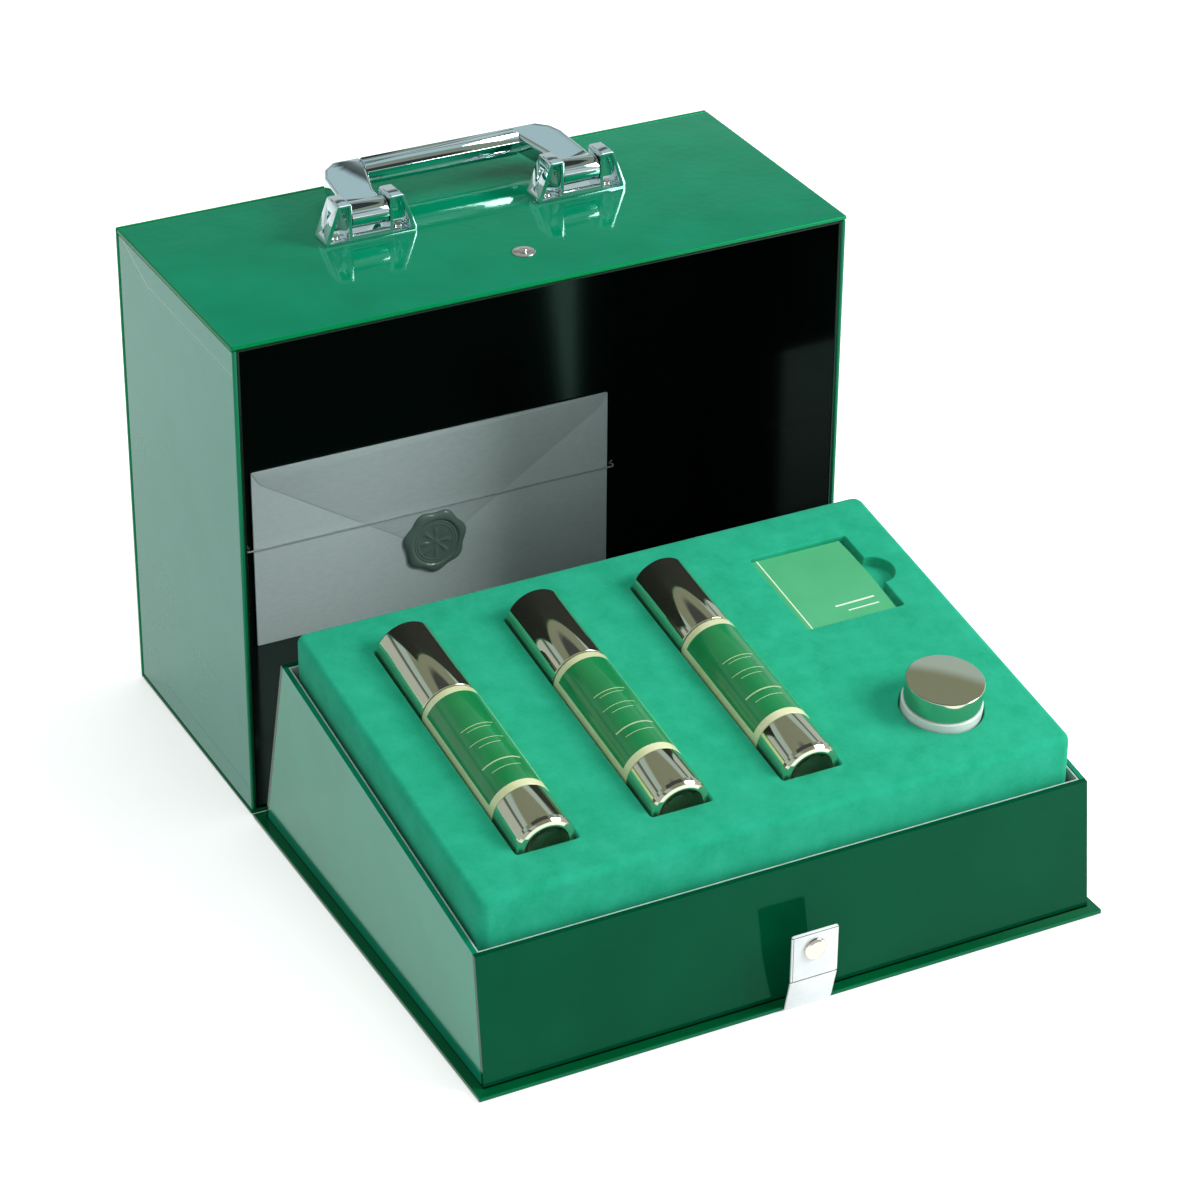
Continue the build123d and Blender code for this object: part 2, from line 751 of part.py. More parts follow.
# Jar: outer body, inner cup and a metal lid. Heights go from the foam's top.
jar_origin = foam_plane.from_local_coords((jar_place[0], jar_place[1], 0))
jar = Plane(origin=jar_origin, x_dir=(1, 0, 0), z_dir=foam_plane.z_dir)
jar_bore = 16.6
jar_neck = 18.2
jar_mouth = 12.0
jar_floor = -25.0
lid_top = 16.5
lid_inner = 18.5
jar_body_outline = [
    (0, -jar_depth),
    (jar_radius - 1.5, -jar_depth),
    (jar_radius, -jar_depth + 1.5),
    (jar_radius, 3.2),
    (jar_radius - 0.9, 4.2),
    (jar_neck, 4.2),
    (jar_neck, jar_mouth),
    (jar_bore, jar_mouth),
    (jar_bore, jar_floor),
    (0, jar_floor),
]
jar_cup_outline = [
    (0, jar_floor + 0.2),
    (jar_bore - 0.2, jar_floor + 0.2),
    (jar_bore - 0.2, jar_mouth + 0.1),
    (jar_neck - 0.2, jar_mouth + 0.1),
    (jar_neck - 0.2, jar_mouth + 1.2),
    (jar_bore - 1.5, jar_mouth + 1.2),
    (jar_bore - 1.5, jar_floor + 1.5),
    (0, jar_floor + 1.5),
]
jar_lid_outline = [
    (lid_inner, 4.6),
    (lid_inner + 1.6, 4.6),
    (lid_inner + 1.6, lid_top - 0.6),
    (lid_inner + 1.0, lid_top),
    (0, lid_top),
    (0, lid_top - 1.6),
    (lid_inner, lid_top - 1.6),
]
turned_piece("jar_body", jar, jar_body_outline)
turned_piece("jar_cup", jar, jar_cup_outline)
turned_piece("jar_lid", jar, jar_lid_outline)

# Booklet, to the left in its pocket, which leaves a slot beside the finger notch
booklet_x = pocket_place[0] - (pocket_size[0] - booklet_size[0]) / 2 + booklet_clear
with BuildPart() as booklet:
    with BuildSketch(foam_plane.offset(0.1 - pocket_depth)):
        with Locations((booklet_x, pocket_place[1])):
            Rectangle(booklet_size[0], booklet_size[1])
    extrude(amount=booklet_size[2])
keep(booklet, "booklet")

# Strap: a glued tail under the door, and two stiff lengths with a fold before each
with BuildPart() as strap_tail:
    with BuildSketch(Plane.XY.offset(0.05)):
        with Locations((strap_x, door_front + tail_deep / 2)):
            Rectangle(strap_width, tail_deep - 0.6)
    extrude(amount=tail_recess - 0.1)
keep(strap_tail, "strap_tail")

lean = math.radians(strap_lean)
strap_root = (strap_x, door_front - 0.9, 0.8)
lower_plane = Plane(origin=strap_root, x_dir=(1, 0, 0), z_dir=(0, -math.cos(lean), -math.sin(lean)))
with BuildPart() as strap_lower:
    with BuildSketch(lower_plane.offset(-strap_thick / 2)):
        with Locations((0, strap_lower_length / 2)):
            Rectangle(strap_width, strap_lower_length - 2 * strap_gap)
    extrude(amount=strap_thick)
keep(strap_lower, "strap_lower")

crease = lower_plane.from_local_coords((0, strap_lower_length, 0))
upper_plane = Plane(origin=crease, x_dir=(1, 0, 0), z_dir=(0, -1, 0))
with BuildPart() as strap_upper:
    with BuildSketch(upper_plane.offset(-strap_thick / 2)):
        with Locations((0, (strap_upper_length + strap_gap) / 2)):
            Rectangle(strap_width, strap_upper_length - strap_gap)
        with Locations((0, strap_cap_along)):
            Circle(1.5, mode=Mode.SUBTRACT)
    extrude(amount=strap_thick)
keep(strap_upper, "strap_upper")

snap_origin = upper_plane.from_local_coords((0, strap_cap_along, 0))
snap = Plane(origin=snap_origin, x_dir=(1, 0, 0), z_dir=(0, -1, 0))
skin = strap_thick / 2
snap_cap_outline = [
    (0, -skin),
    (1.5, -skin),
    (1.5, skin),
    (5.9, skin),
    (6.25, skin + 0.5),
    (5.9, skin + 1.3),
    (4.4, skin + 2.0),
    (2.2, skin + 2.4),
    (0, skin + 2.5),
]
snap_socket_outline = [
    (0, -skin),
    (0, -skin - 0.4),
    (stud_bulb + 0.2, -skin - 0.4),
    (stud_bulb + 0.2, -skin - 2.0),
    (4.6, -skin - 2.0),
    (5.2, -skin - 1.4),
    (5.2, -skin),
]
turned_piece("snap_cap", snap, snap_cap_outline)
turned_piece("snap_socket", snap, snap_socket_outline)
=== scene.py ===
"""The green carrying case, open on a pale floor, seen from the photograph's side.

All lengths are in metres, in the CAD model's frame: +X right, +Y to the case's back, +Z up.
"""
import bmesh
import bpy
import json
import math
import numpy as np
from mathutils import Matrix, Vector
from mathutils.geometry import tessellate_polygon


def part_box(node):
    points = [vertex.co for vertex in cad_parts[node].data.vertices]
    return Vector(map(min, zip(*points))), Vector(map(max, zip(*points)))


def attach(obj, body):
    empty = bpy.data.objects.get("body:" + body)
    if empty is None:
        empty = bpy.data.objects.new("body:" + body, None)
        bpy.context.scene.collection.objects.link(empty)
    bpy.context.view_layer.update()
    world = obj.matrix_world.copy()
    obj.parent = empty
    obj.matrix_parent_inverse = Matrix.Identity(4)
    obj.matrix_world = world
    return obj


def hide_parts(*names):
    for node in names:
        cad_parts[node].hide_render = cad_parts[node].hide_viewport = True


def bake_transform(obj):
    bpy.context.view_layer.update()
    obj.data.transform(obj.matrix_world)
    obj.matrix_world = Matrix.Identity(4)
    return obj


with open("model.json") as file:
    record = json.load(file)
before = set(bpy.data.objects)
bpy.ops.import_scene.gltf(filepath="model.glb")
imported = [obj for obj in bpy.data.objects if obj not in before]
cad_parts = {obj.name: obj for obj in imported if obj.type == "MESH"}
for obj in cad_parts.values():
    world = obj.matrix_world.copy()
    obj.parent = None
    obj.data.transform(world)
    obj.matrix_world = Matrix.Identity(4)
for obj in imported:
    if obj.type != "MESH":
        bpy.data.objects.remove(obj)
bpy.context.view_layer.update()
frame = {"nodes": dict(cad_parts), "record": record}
mm = 0.001

# Driving sizes, as the CAD model has them.
# The case: y of its front, its back and the back lining's face, half its height, and for its side boards
# the width of the paper folded in, and how fast the fold's slanting end runs to the back corner
case_front = -78.5 * mm
case_back = 78.5 * mm
lining_face = 74.5 * mm
case_middle = 137.0 * mm
turn_in_width = 16.0 * mm
mitre_slope = 0.38

# The foam insert: half its width, y of its front and rear, its height in front, its rise per length
foam_half = 164.2 * mm
foam_front = case_front - 255.2 * mm
foam_rear = case_front - 41.0 * mm
foam_front_top = 97.0 * mm
foam_slope = 0.155
foam_thick = 40.0 * mm
foam_corner = 6.0 * mm

# Bottles, jar, pocket and booklet. Places are (across the case, up the slope) from the foam's front
# edge. The bottles' axes lie a sink below the foam's top, and their lengths run from the foot.
bottle_radius = 16.0 * mm
bottle_xs = [-116.0 * mm, -43.7 * mm, 28.6 * mm]
bottle_foot = 26.0 * mm
bottle_sink = 1.0 * mm
bottle_clear = 0.8 * mm
bottle_length = 162.2 * mm
shoulder = 108.0 * mm
base_length = 27.5 * mm
jar_place = (114.5 * mm, 46.0 * mm)
jar_depth = 29.0 * mm
jar_hole = 21.7 * mm
pocket_place = (110.0 * mm, 155.5 * mm)
pocket_size = (57.4 * mm, 62.8 * mm)
pocket_depth = 6.0 * mm
notch_radius = 11.0 * mm
booklet_middle = (108.4 * mm, 155.5 * mm)
booklet_size = (53.4 * mm, 62.0 * mm)

# The strap; and the envelope, which leans on the back lining, with its seal
strap_x = 2.5 * mm
strap_lean = math.radians(14)
strap_half_width = 13.0 * mm
envelope_x = 3.0 * mm
envelope_size = (220.0 * mm, 110.0 * mm)
envelope_foot = 4.0 * mm
envelope_back = lining_face - 0.3 * mm
envelope_thick = 1.1 * mm
seal_z = 44.8 * mm
seal_radius = 20.0 * mm

# The strap's fold, crease and top as (y, z)
strap_up = np.array((-math.sin(strap_lean), math.cos(strap_lean)))
strap_root = np.array((-355.6, 0.8)) * mm
strap_middle = strap_root + 10.0 * mm * strap_up
strap_crease = strap_root + 20.0 * mm * strap_up
strap_top = strap_crease + (0, 27.0 * mm)

# Axes of the foam's top: across the case, up its slope, and out of the foam
foam_angle = math.atan(foam_slope)
foam_axes = np.array([
    (1, 0, 0),
    (0, math.cos(foam_angle), math.sin(foam_angle)),
    (0, -math.sin(foam_angle), math.cos(foam_angle)),
])
foam_plane = (np.array((0, foam_front, foam_front_top)), foam_axes)


# Mesh helpers

def full_turn(steps):
    """Angles in equal steps of a full turn, the first 0."""
    return np.linspace(0, 2 * math.pi, steps, endpoint=False)


def unit_rows(rows):
    """Each row divided by its length."""
    return rows / np.linalg.norm(rows, axis=1)[:, None]


def distance_along(line):
    """How far each point of a line is from its first one, along the line."""
    return np.concatenate([[0], np.cumsum(np.linalg.norm(np.diff(line, axis=0), axis=1))])


def join_meshes(*meshes):
    """(vertices, faces) pairs as one pair, each next one's indices moved up by the vertices before it."""
    vertices, faces, count = [], [], 0
    for points, polygons in meshes:
        points = np.asarray(points, float)
        vertices.append(points)
        faces += [tuple(int(i) + count for i in polygon) for polygon in polygons]
        count += len(points)
    return np.concatenate(vertices), faces


def ring_faces(rows, columns):
    """Quads between rows closed rings of points, numbered ring by ring: (i, j), (i, j+1), (i+1, j+1),
    (i+1, j), where j+1 comes round to 0."""
    i, j = np.arange(rows - 1)[:, None] * columns, np.arange(columns)[None, :]
    beside = (j + 1) % columns
    corners = [i + j, i + beside, i + columns + beside, i + columns + j]
    return np.stack([c.ravel() for c in np.broadcast_arrays(*corners)], 1).tolist()


def tube_faces(rows, columns):
    """Quads between rows closed rings, one face over the first ring and one over the last."""
    last = (rows - 1) * columns
    ends = [tuple(range(columns - 1, -1, -1)), tuple(range(last, last + columns))]
    return ring_faces(rows, columns) + ends


def round_corners(points, radius, steps=5):
    """A closed outline with each corner turned into an arc.

    An arc of radius r in a corner that turns by a touches its sides r*tan(a/2) away. Where a side is
    too short for that, r is smaller. Each arc is swept as a circle about its centre, steps + 1 points.
    """
    points = np.asarray(points, float)
    radii = np.broadcast_to(radius, len(points))
    result = []
    for k, corner in enumerate(points):
        before, after = points[k - 1] - corner, points[(k + 1) % len(points)] - corner
        to_before, to_after = before / np.linalg.norm(before), after / np.linalg.norm(after)
        half_turn = (math.pi - math.acos(np.clip(to_before @ to_after, -1, 1))) / 2
        shorter = min(np.linalg.norm(before), np.linalg.norm(after))
        reach = min(radii[k] * math.tan(half_turn), 0.48 * shorter)
        if reach < 1e-7:
            result.append(corner)
            continue
        r = reach / math.tan(half_turn)
        inward = (to_before + to_after) / np.linalg.norm(to_before + to_after)
        centre = corner + inward * r / math.cos(half_turn)
        side = (to_before - to_after) / np.linalg.norm(to_before - to_after)
        for turn in np.linspace(half_turn, -half_turn, steps + 1):
            result.append(centre + r * (side * math.sin(turn) - inward * math.cos(turn)))
    return np.array(result)


def place(plane, points):
    """Points (u, v, w) in a plane's own axes, moved to the frame: origin + u*U + v*V + w*W."""
    origin, axes = plane
    return np.asarray(origin) + np.asarray(points, float) @ np.asarray(axes)


def lathe(profile, plane, segments):
    """A surface of revolution about the plane's third axis.

    The profile's (r, h) points go round as (r*cos(t), r*sin(t), h). A profile that runs up the
    outside has its outside facing out. Points on the axis lie together, and make_object joins them. The
    part of a profile that runs along the axis has no faces.
    """
    profile = np.asarray(profile, float)
    r, h = profile[:, :1], profile[:, 1:]
    turn = full_turn(segments)
    points = np.stack(np.broadcast_arrays(r * np.cos(turn), r * np.sin(turn), h), -1)
    on_axis = profile[:, 0] < 1e-7
    kept = np.repeat(~(on_axis[:-1] & on_axis[1:]), segments)
    faces = np.array(ring_faces(len(profile), segments))[kept]
    return place(plane, points.reshape(-1, 3)), faces.tolist()


def offset_outline(outline, inset):
    """A closed counter-clockwise outline moved inwards: each point goes inset/cos(a) along its corner's
    bisector, where a is half of the corner's turn."""
    ahead = unit_rows(np.roll(outline, -1, axis=0) - outline)
    behind = np.roll(ahead, 1, axis=0)
    normal = unit_rows(np.stack([-ahead[:, 1] - behind[:, 1], ahead[:, 0] + behind[:, 0]], 1))
    side = np.stack([-ahead[:, 1], ahead[:, 0]], 1)
    return outline + normal * inset / np.clip((normal * side).sum(1), 0.3, 1)[:, None]


def quarter(radius, steps, rising=True):
    """(inset, drop) pairs of a quarter circle of that radius: inset r*(1 - sin a), drop r*(1 - cos a)."""
    turn = np.linspace(0, math.pi / 2, steps + 1)
    pairs = np.column_stack([radius * (1 - np.sin(turn)), radius * (1 - np.cos(turn))])
    return pairs if rising else pairs[::-1]


def level_rings(outline, levels):
    """An outline at each (inset, height) level: moved in by the inset, and at the height."""
    return [np.column_stack([offset_outline(outline, inset), np.full(len(outline), height)])
            for inset, height in levels]


def rounded_slab(outline, thick, edge, steps=4):
    """A slab over a closed outline, its rims rounded to radius edge.

    Rings follow the outline moved in by edge*(1 - sin(a)) at height edge*(1 - cos(a)), a from 0 to
    a right angle, and the same from the top down. The two ends are closed with one face each.
    """
    levels = [(inset, height) for inset, height in quarter(edge, steps)]
    levels += [(inset, thick - height) for inset, height in reversed(levels)]
    rings = level_rings(outline, levels)
    return np.concatenate(rings), tube_faces(len(rings), len(outline))


def make_object(name, mesh, material, sharp=35):
    """A mesh object from (vertices, faces), its doubled points joined, smooth up to the given angle."""
    vertices, faces = mesh
    data = bpy.data.meshes.new(name)
    data.from_pydata(np.asarray(vertices, float).tolist(), [], faces)
    shape = bmesh.new()
    shape.from_mesh(data)
    bmesh.ops.remove_doubles(shape, verts=shape.verts, dist=0.002 * mm)
    shape.to_mesh(data)
    shape.free()
    data.validate()
    obj = bpy.data.objects.new(name, data)
    bpy.context.scene.collection.objects.link(obj)
    data.materials.append(material)
    data.shade_smooth()
    data.set_sharp_from_angle(angle=math.radians(sharp))
    return obj


def piece(name, mesh, body, slot, replaces=(), material=None, sharp=35):
    """A piece of the object that rides on a CAD body and stands for the named CAD nodes, in its slot's
    finish or a material of its own. A piece that bends across a joint has no body here."""
    obj = make_object(name, mesh, material or finishes[slot], sharp)
    if body:
        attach(obj, body)
    if replaces:
        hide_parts(*replaces)
    return obj


def turned(outline, plane, radius, segments=128):
    """A closed (r, h) outline with its corners rounded, turned about the plane's third axis."""
    outline = np.asarray(outline, float)
    profile = round_corners(outline, np.where(outline[:, 0] < 1e-6, 0.0, radius), 4)
    return lathe(np.vstack([profile, profile[:1]]), plane, segments)


def corner_points(mesh):
    """Where each face corner of a mesh is, as an array of (x, y, z)."""
    points = np.empty(len(mesh.vertices) * 3)
    mesh.vertices.foreach_get("co", points)
    corner = np.empty(len(mesh.loops), int)
    mesh.loops.foreach_get("vertex_index", corner)
    return points.reshape(-1, 3)[corner]


def unrolled_map(obj, plane, radius):
    """A UV map in metres, as if a turned surface were unrolled: u = radius * angle from the plane's -Y
    axis, v = height. A corner's angle is taken within half a turn of its face's middle."""
    mesh = obj.data
    local = (corner_points(mesh) - plane[0]) @ np.asarray(plane[1]).T
    starts = np.empty(len(mesh.polygons), int)
    totals = np.empty(len(mesh.polygons), int)
    mesh.polygons.foreach_get("loop_start", starts)
    mesh.polygons.foreach_get("loop_total", totals)
    middle = np.add.reduceat(local, starts) / totals[:, None]
    around = np.repeat(np.arctan2(middle[:, 0], -middle[:, 1]), totals)
    turn = np.arctan2(local[:, 0], -local[:, 1])
    turn = around + (turn - around + math.pi) % (2 * math.pi) - math.pi
    layer = mesh.uv_layers.new(name="unrolled")
    layer.data.foreach_set("uv", np.column_stack([radius * turn, local[:, 2]]).ravel())


def flat_map(obj):
    """A UV map in metres of the mesh as it lies at rest: x from the strap's middle, and z."""
    placed = corner_points(obj.data)[:, [0, 2]] - (strap_x, 0)
    obj.data.uv_layers.new(name="flat").data.foreach_set("uv", placed.ravel())


def sunk_rings(outline, depth, lip):
    """A pocket: rings of its outline in (u, v) go over a rounded lip, down the wall and over a small fillet.

    The lip starts lip outside the outline at no depth, where the pocket is open, and the floor is one
    face at the full depth.
    """
    foot = 0.8 * mm
    levels = [(-inset, -drop) for inset, drop in quarter(lip, 4)]
    levels += [(0.0, -share * (depth - foot)) for share in (0.4, 0.7)]
    levels += [(inset, drop - depth) for inset, drop in quarter(foot, 3, False)]
    rings = level_rings(outline, levels)
    faces = tube_faces(len(rings), len(outline))
    del faces[-2]
    return (np.concatenate(rings), faces), rings[0]


def rectangle(middle, size, corner, steps=4):
    """A rectangle's outline, counter-clockwise, with rounded corners."""
    u, v = size[0] / 2, size[1] / 2
    return round_corners([(u, v), (-u, v), (-u, -v), (u, -v)], corner, steps) + middle


# Material helpers

def linear(code):
    """An sRGB hex colour as linear red, green, blue and alpha."""
    parts = [int(code[k:k + 2], 16) / 255 for k in (0, 2, 4)]
    return [p / 12.92 if p <= 0.04045 else ((p + 0.055) / 1.055) ** 2.4 for p in parts] + [1.0]


def give(tree, node, inputs):
    """Gives inputs of a node their values: numbers, hex colours, or other nodes' outputs."""
    for key, value in inputs.items():
        if isinstance(value, bpy.types.NodeSocket):
            tree.links.new(value, node.inputs[key])
        else:
            node.inputs[key].default_value = linear(value) if isinstance(value, str) else value


def add(tree, kind, inputs, output=0, stops=(), **settings):
    """Adds a node and returns one of its outputs. settings are its properties, and stops are a ramp's
    (position, colour) pairs. A Mix node's two colours are its inputs 6 and 7, and its result is output 2."""
    node = tree.nodes.new("ShaderNode" + kind)
    for key, value in settings.items():
        setattr(node, key, value)
    give(tree, node, inputs)
    if stops:
        elements = node.color_ramp.elements
        while len(elements) < len(stops):
            elements.new(0.5)
        for element, (position, colour) in zip(elements, stops):
            element.position = position
            element.color = linear(colour) if isinstance(colour, str) else colour
    return node.outputs[output]


def new_material(name):
    """A node material: itself, its tree, its shader, and Object coordinates in metres."""
    material = bpy.data.materials.new(name)
    material.use_nodes = True
    tree = material.node_tree
    return material, tree, tree.nodes["Principled BSDF"], add(tree, "TexCoord", {}, "Object")


def within(tree, value, low, high):
    """1 where low < value < high, and 0 elsewhere."""
    above = add(tree, "Math", {0: value, 1: low}, operation="GREATER_THAN")
    below = add(tree, "Math", {0: value, 1: high}, operation="LESS_THAN")
    return add(tree, "Math", {0: above, 1: below}, operation="MULTIPLY")


def drifting_colour(tree, where, size, detail, low, high):
    """A colour that drifts between two hex colours in patches about size across."""
    patches = add(tree, "TexNoise", {"Vector": where, "Scale": 1 / size, "Detail": detail})
    return add(tree, "ValToRGB", {"Fac": patches}, stops=[(0.3, low), (0.7, high)])


def waves(tree, where, size, detail, height, **inputs):
    """A surface with chance waves about size across and height high. inputs are the bump's others:
    its Strength, and as Normal the surface under it."""
    swell = add(tree, "TexNoise", {"Vector": where, "Scale": 1 / size, "Detail": detail})
    return add(tree, "Bump", {"Height": swell, "Distance": height, **inputs})


def laminated_paper(name, low, high, painted_edge_tone, gloss, ripple, tint, ior=1.55, turn_in=False, joint=False):
    """Printed paper under a gloss film. Its colour is faintly cloudy and streaked along the paper's grain.
    The film has an orange-peel ripple about 4 mm across, and slower waves follow the board under it. Its
    reflections are tinted.

    Round a board's edge, where its edge attribute is 1, the film is less glossy and its colour goes to the
    edge
    colour given: painted light and shade on the rounded edge. With turn_in, the edge of the paper folded in
    from the top and bottom shows as a 0.1 mm step 16 mm from those edges, and as a slanting one in the back
    corners.
    With joint, the foot of a tray wall below 3.5 mm is painted near black: painted shade where it stands on
    the door.
    """
    material, tree, shader, where = new_material(name)
    clouds = drifting_colour(tree, where, 45 * mm, 4, low, high)
    grain = add(tree, "Mapping", {"Vector": where, "Scale": (1.0, 1.0, 0.06)})
    grain = add(tree, "TexNoise", {"Vector": grain, "Scale": 1 / (2.5 * mm), "Detail": 3})
    streaks = add(tree, "Math", {0: grain, 1: 0.3}, operation="MULTIPLY")
    streaked = add(tree, "Mix", {0: streaks, 6: clouds, 7: high}, 2, data_type="RGBA")
    edge = add(tree, "Attribute", {}, "Fac", attribute_name="painted_edge_tone")
    # Painted light and shade: round a board's edge the colour goes to the edge colour given.
    printed = add(tree, "Mix", {0: edge, 6: streaked, 7: painted_edge_tone}, 2, data_type="RGBA")
    surface = waves(tree, where, 35 * mm, 1, 4 * ripple)
    surface = waves(tree, where, 4.2 * mm, 1, ripple, Normal=surface)
    _, y, z = add(tree, "SeparateXYZ", {"Vector": where}).node.outputs
    if joint:
        # Painted shade: near black below 3.5 mm, where a tray wall stands on the door.
        gap = add(tree, "Math", {0: z, 1: 3.5 * mm}, operation="LESS_THAN")
        printed = add(tree, "Mix", {0: gap, 6: printed, 7: "000B05"}, 2, data_type="RGBA")
    if turn_in:
        from_middle = add(tree, "Math", {0: z, 1: case_middle}, operation="SUBTRACT")
        from_middle = add(tree, "Math", {0: from_middle}, operation="ABSOLUTE")
        from_back = add(tree, "Math", {0: case_back, 1: y}, operation="SUBTRACT")
        slant = add(tree, "Math", {0: from_back, 1: -mitre_slope, 2: case_middle}, operation="MULTIPLY_ADD")
        fold = add(tree, "Math", {0: slant, 1: case_middle - turn_in_width}, operation="MAXIMUM")
        beyond = add(tree, "Math", {0: from_middle, 1: fold}, operation="SUBTRACT")
        half_step = 0.4545 * mm
        step = add(tree, "MapRange", {"Value": beyond, "From Min": -half_step, "From Max": half_step})
        surface = add(tree, "Bump", {"Height": step, "Distance": 0.1 * mm, "Normal": surface})
    dulled = add(tree, "Math", {0: edge, 1: 0.25, 2: gloss}, operation="MULTIPLY_ADD")
    give(tree, shader, {"Base Color": printed, "Roughness": dulled, "IOR": ior, "Specular Tint": tint,
                        "Normal": surface})
    return material


def plated_metal(name, colour, gloss, wear_size=6 * mm, metallic=1.0):
    """Bright plated metal: handling leaves its roughness uneven, and polishing the slightest ripple.
    Under a satin lacquer it scatters a little light too, which metallic below 1 gives."""
    material, tree, shader, where = new_material(name)
    wear = add(tree, "TexNoise", {"Vector": where, "Scale": 1 / wear_size, "Detail": 4})
    smears = add(tree, "MapRange", {"Value": wear, "From Min": 0.3, "From Max": 0.7,
                                    "To Min": gloss, "To Max": gloss * 1.8 + 0.01})
    give(tree, shader, {"Base Color": colour, "Metallic": metallic, "Roughness": smears,
                        "Normal": waves(tree, where, 8 * mm, 1, 0.006 * mm)})
    return material


def flocked_foam(name):
    """Flock on foam: short fibres as fine bump, finger marks where the pile leans, and a soft sheen.

    The real fibres are 0.02 mm thick. They are drawn 0.5 mm across, so that they show.
    """
    material, tree, shader, where = new_material(name)
    marks = add(tree, "TexNoise", {"Vector": where, "Scale": 1 / (14 * mm), "Detail": 5, "Roughness": 0.62})
    leaning = add(tree, "ValToRGB", {"Fac": marks}, stops=[(0.32, "0D9870"), (0.72, "26AC88")])
    grain = add(tree, "TexNoise", {"Vector": where, "Scale": 1 / (1.6 * mm), "Detail": 3, "Roughness": 0.6})
    tips = add(tree, "Math", {0: grain, 1: 0.35}, operation="MULTIPLY")
    pile = add(tree, "Mix", {0: tips, 6: leaning, 7: "3AB898"}, 2, data_type="RGBA")
    fibres = add(tree, "TexNoise", {"Vector": where, "Scale": 1 / (0.5 * mm), "Detail": 3, "Roughness": 0.7})
    fibres = add(tree, "Bump", {"Height": fibres, "Distance": 0.12 * mm, "Strength": 0.5})
    give(tree, shader, {"Base Color": pile, "Roughness": 0.95, "Specular IOR Level": 0.15,
                        "Sheen Weight": 0.22, "Sheen Roughness": 0.45, "Sheen Tint": "9CE6CE",
                        "Normal": waves(tree, where, 30 * mm, 2, 0.3 * mm, Strength=0.5, Normal=fibres)})
    return material


def moulded_plastic(name, colour, gloss, coat=0.0):
    """Moulded plastic, or wax, with a slight flow ripple and uneven gloss."""
    material, tree, shader, where = new_material(name)
    flow = add(tree, "TexNoise", {"Vector": where, "Scale": 1 / (9 * mm), "Detail": 3})
    haze = add(tree, "MapRange", {"Value": flow, "To Min": gloss * 0.8, "To Max": gloss * 1.3})
    give(tree, shader, {"Base Color": colour, "Coat Weight": coat, "Roughness": haze,
                        "Normal": waves(tree, where, 10 * mm, 1, 0.01 * mm)})
    return material


def printed_bottle(name):
    """Cream lacquer with a printed green panel, in the unrolled map's metres.

    The panel runs from 74 degrees left to 50 degrees right of the foam's normal, 4.8 mm short of the
    lower metal end and 5 mm short of the upper one. Six plain rules stand where such a bottle carries
    its text, each with its height, half length and thickness in mm.
    """
    material, tree, shader, where = new_material(name)
    unrolled = add(tree, "UVMap", {}, uv_map="unrolled")
    around, along, _ = add(tree, "SeparateXYZ", {"Vector": unrolled}).node.outputs
    sides = within(tree, around, -bottle_radius * math.radians(74), bottle_radius * math.radians(50))
    ends = within(tree, along, base_length + 4.8 * mm, shoulder - 5.0 * mm)
    panel = add(tree, "Math", {0: sides, 1: ends}, operation="MULTIPLY")
    rules, rules_middle = 0.0, -1.5
    for height, reach, thick in ((77, 9.0, 0.5), (74.5, 6.5, 0.35), (66, 9.5, 0.4), (62, 6.0, 0.35),
                                 (49.5, 11.0, 0.9), (44, 8.0, 0.4)):
        wide = within(tree, around, (rules_middle - reach) * mm, (rules_middle + reach) * mm)
        tall = within(tree, along, (height - thick / 2) * mm, (height + thick / 2) * mm)
        rules = add(tree, "Math", {0: wide, 1: tall, 2: rules}, operation="MULTIPLY_ADD")
    thin_ink = add(tree, "Math", {0: rules, 1: 0.7}, operation="MULTIPLY")
    green = drifting_colour(tree, where, 20 * mm, 2, "0F7C42", "16884C")
    printed = add(tree, "Mix", {0: thin_ink, 6: green, 7: "CFE6B4"}, 2, data_type="RGBA")
    cream = drifting_colour(tree, where, 15 * mm, 2, "D3D9A6", "DEE2B8")
    colour = add(tree, "Mix", {0: panel, 6: cream, 7: printed}, 2, data_type="RGBA")
    give(tree, shader, {"Base Color": colour, "Roughness": 0.28, "Coat Weight": 0.6, "Coat Roughness": 0.06,
                        "Normal": waves(tree, where, 10 * mm, 1, 0.01 * mm)})
    return material


def satin_paper(name, low, high, gloss, fibre=1.5 * mm):
    """Satin or uncoated paper, or braid: long faint fibres in its colour and its surface. The real ones
    are about 0.03 mm thick. They are drawn 0.4 to 1.5 mm across, so that they show."""
    material, tree, shader, where = new_material(name)
    stretched = add(tree, "Mapping", {"Vector": where, "Scale": (0.35, 1.0, 1.0)})
    fibres = add(tree, "TexNoise", {"Vector": stretched, "Scale": 1 / fibre, "Detail": 5, "Roughness": 0.6})
    colour = add(tree, "ValToRGB", {"Fac": fibres}, stops=[(0.3, low), (0.7, high)])
    relief = add(tree, "Bump", {"Height": fibres, "Distance": 0.02 * mm, "Strength": 0.4})
    give(tree, shader, {"Base Color": colour, "Roughness": gloss, "Normal": relief})
    return material


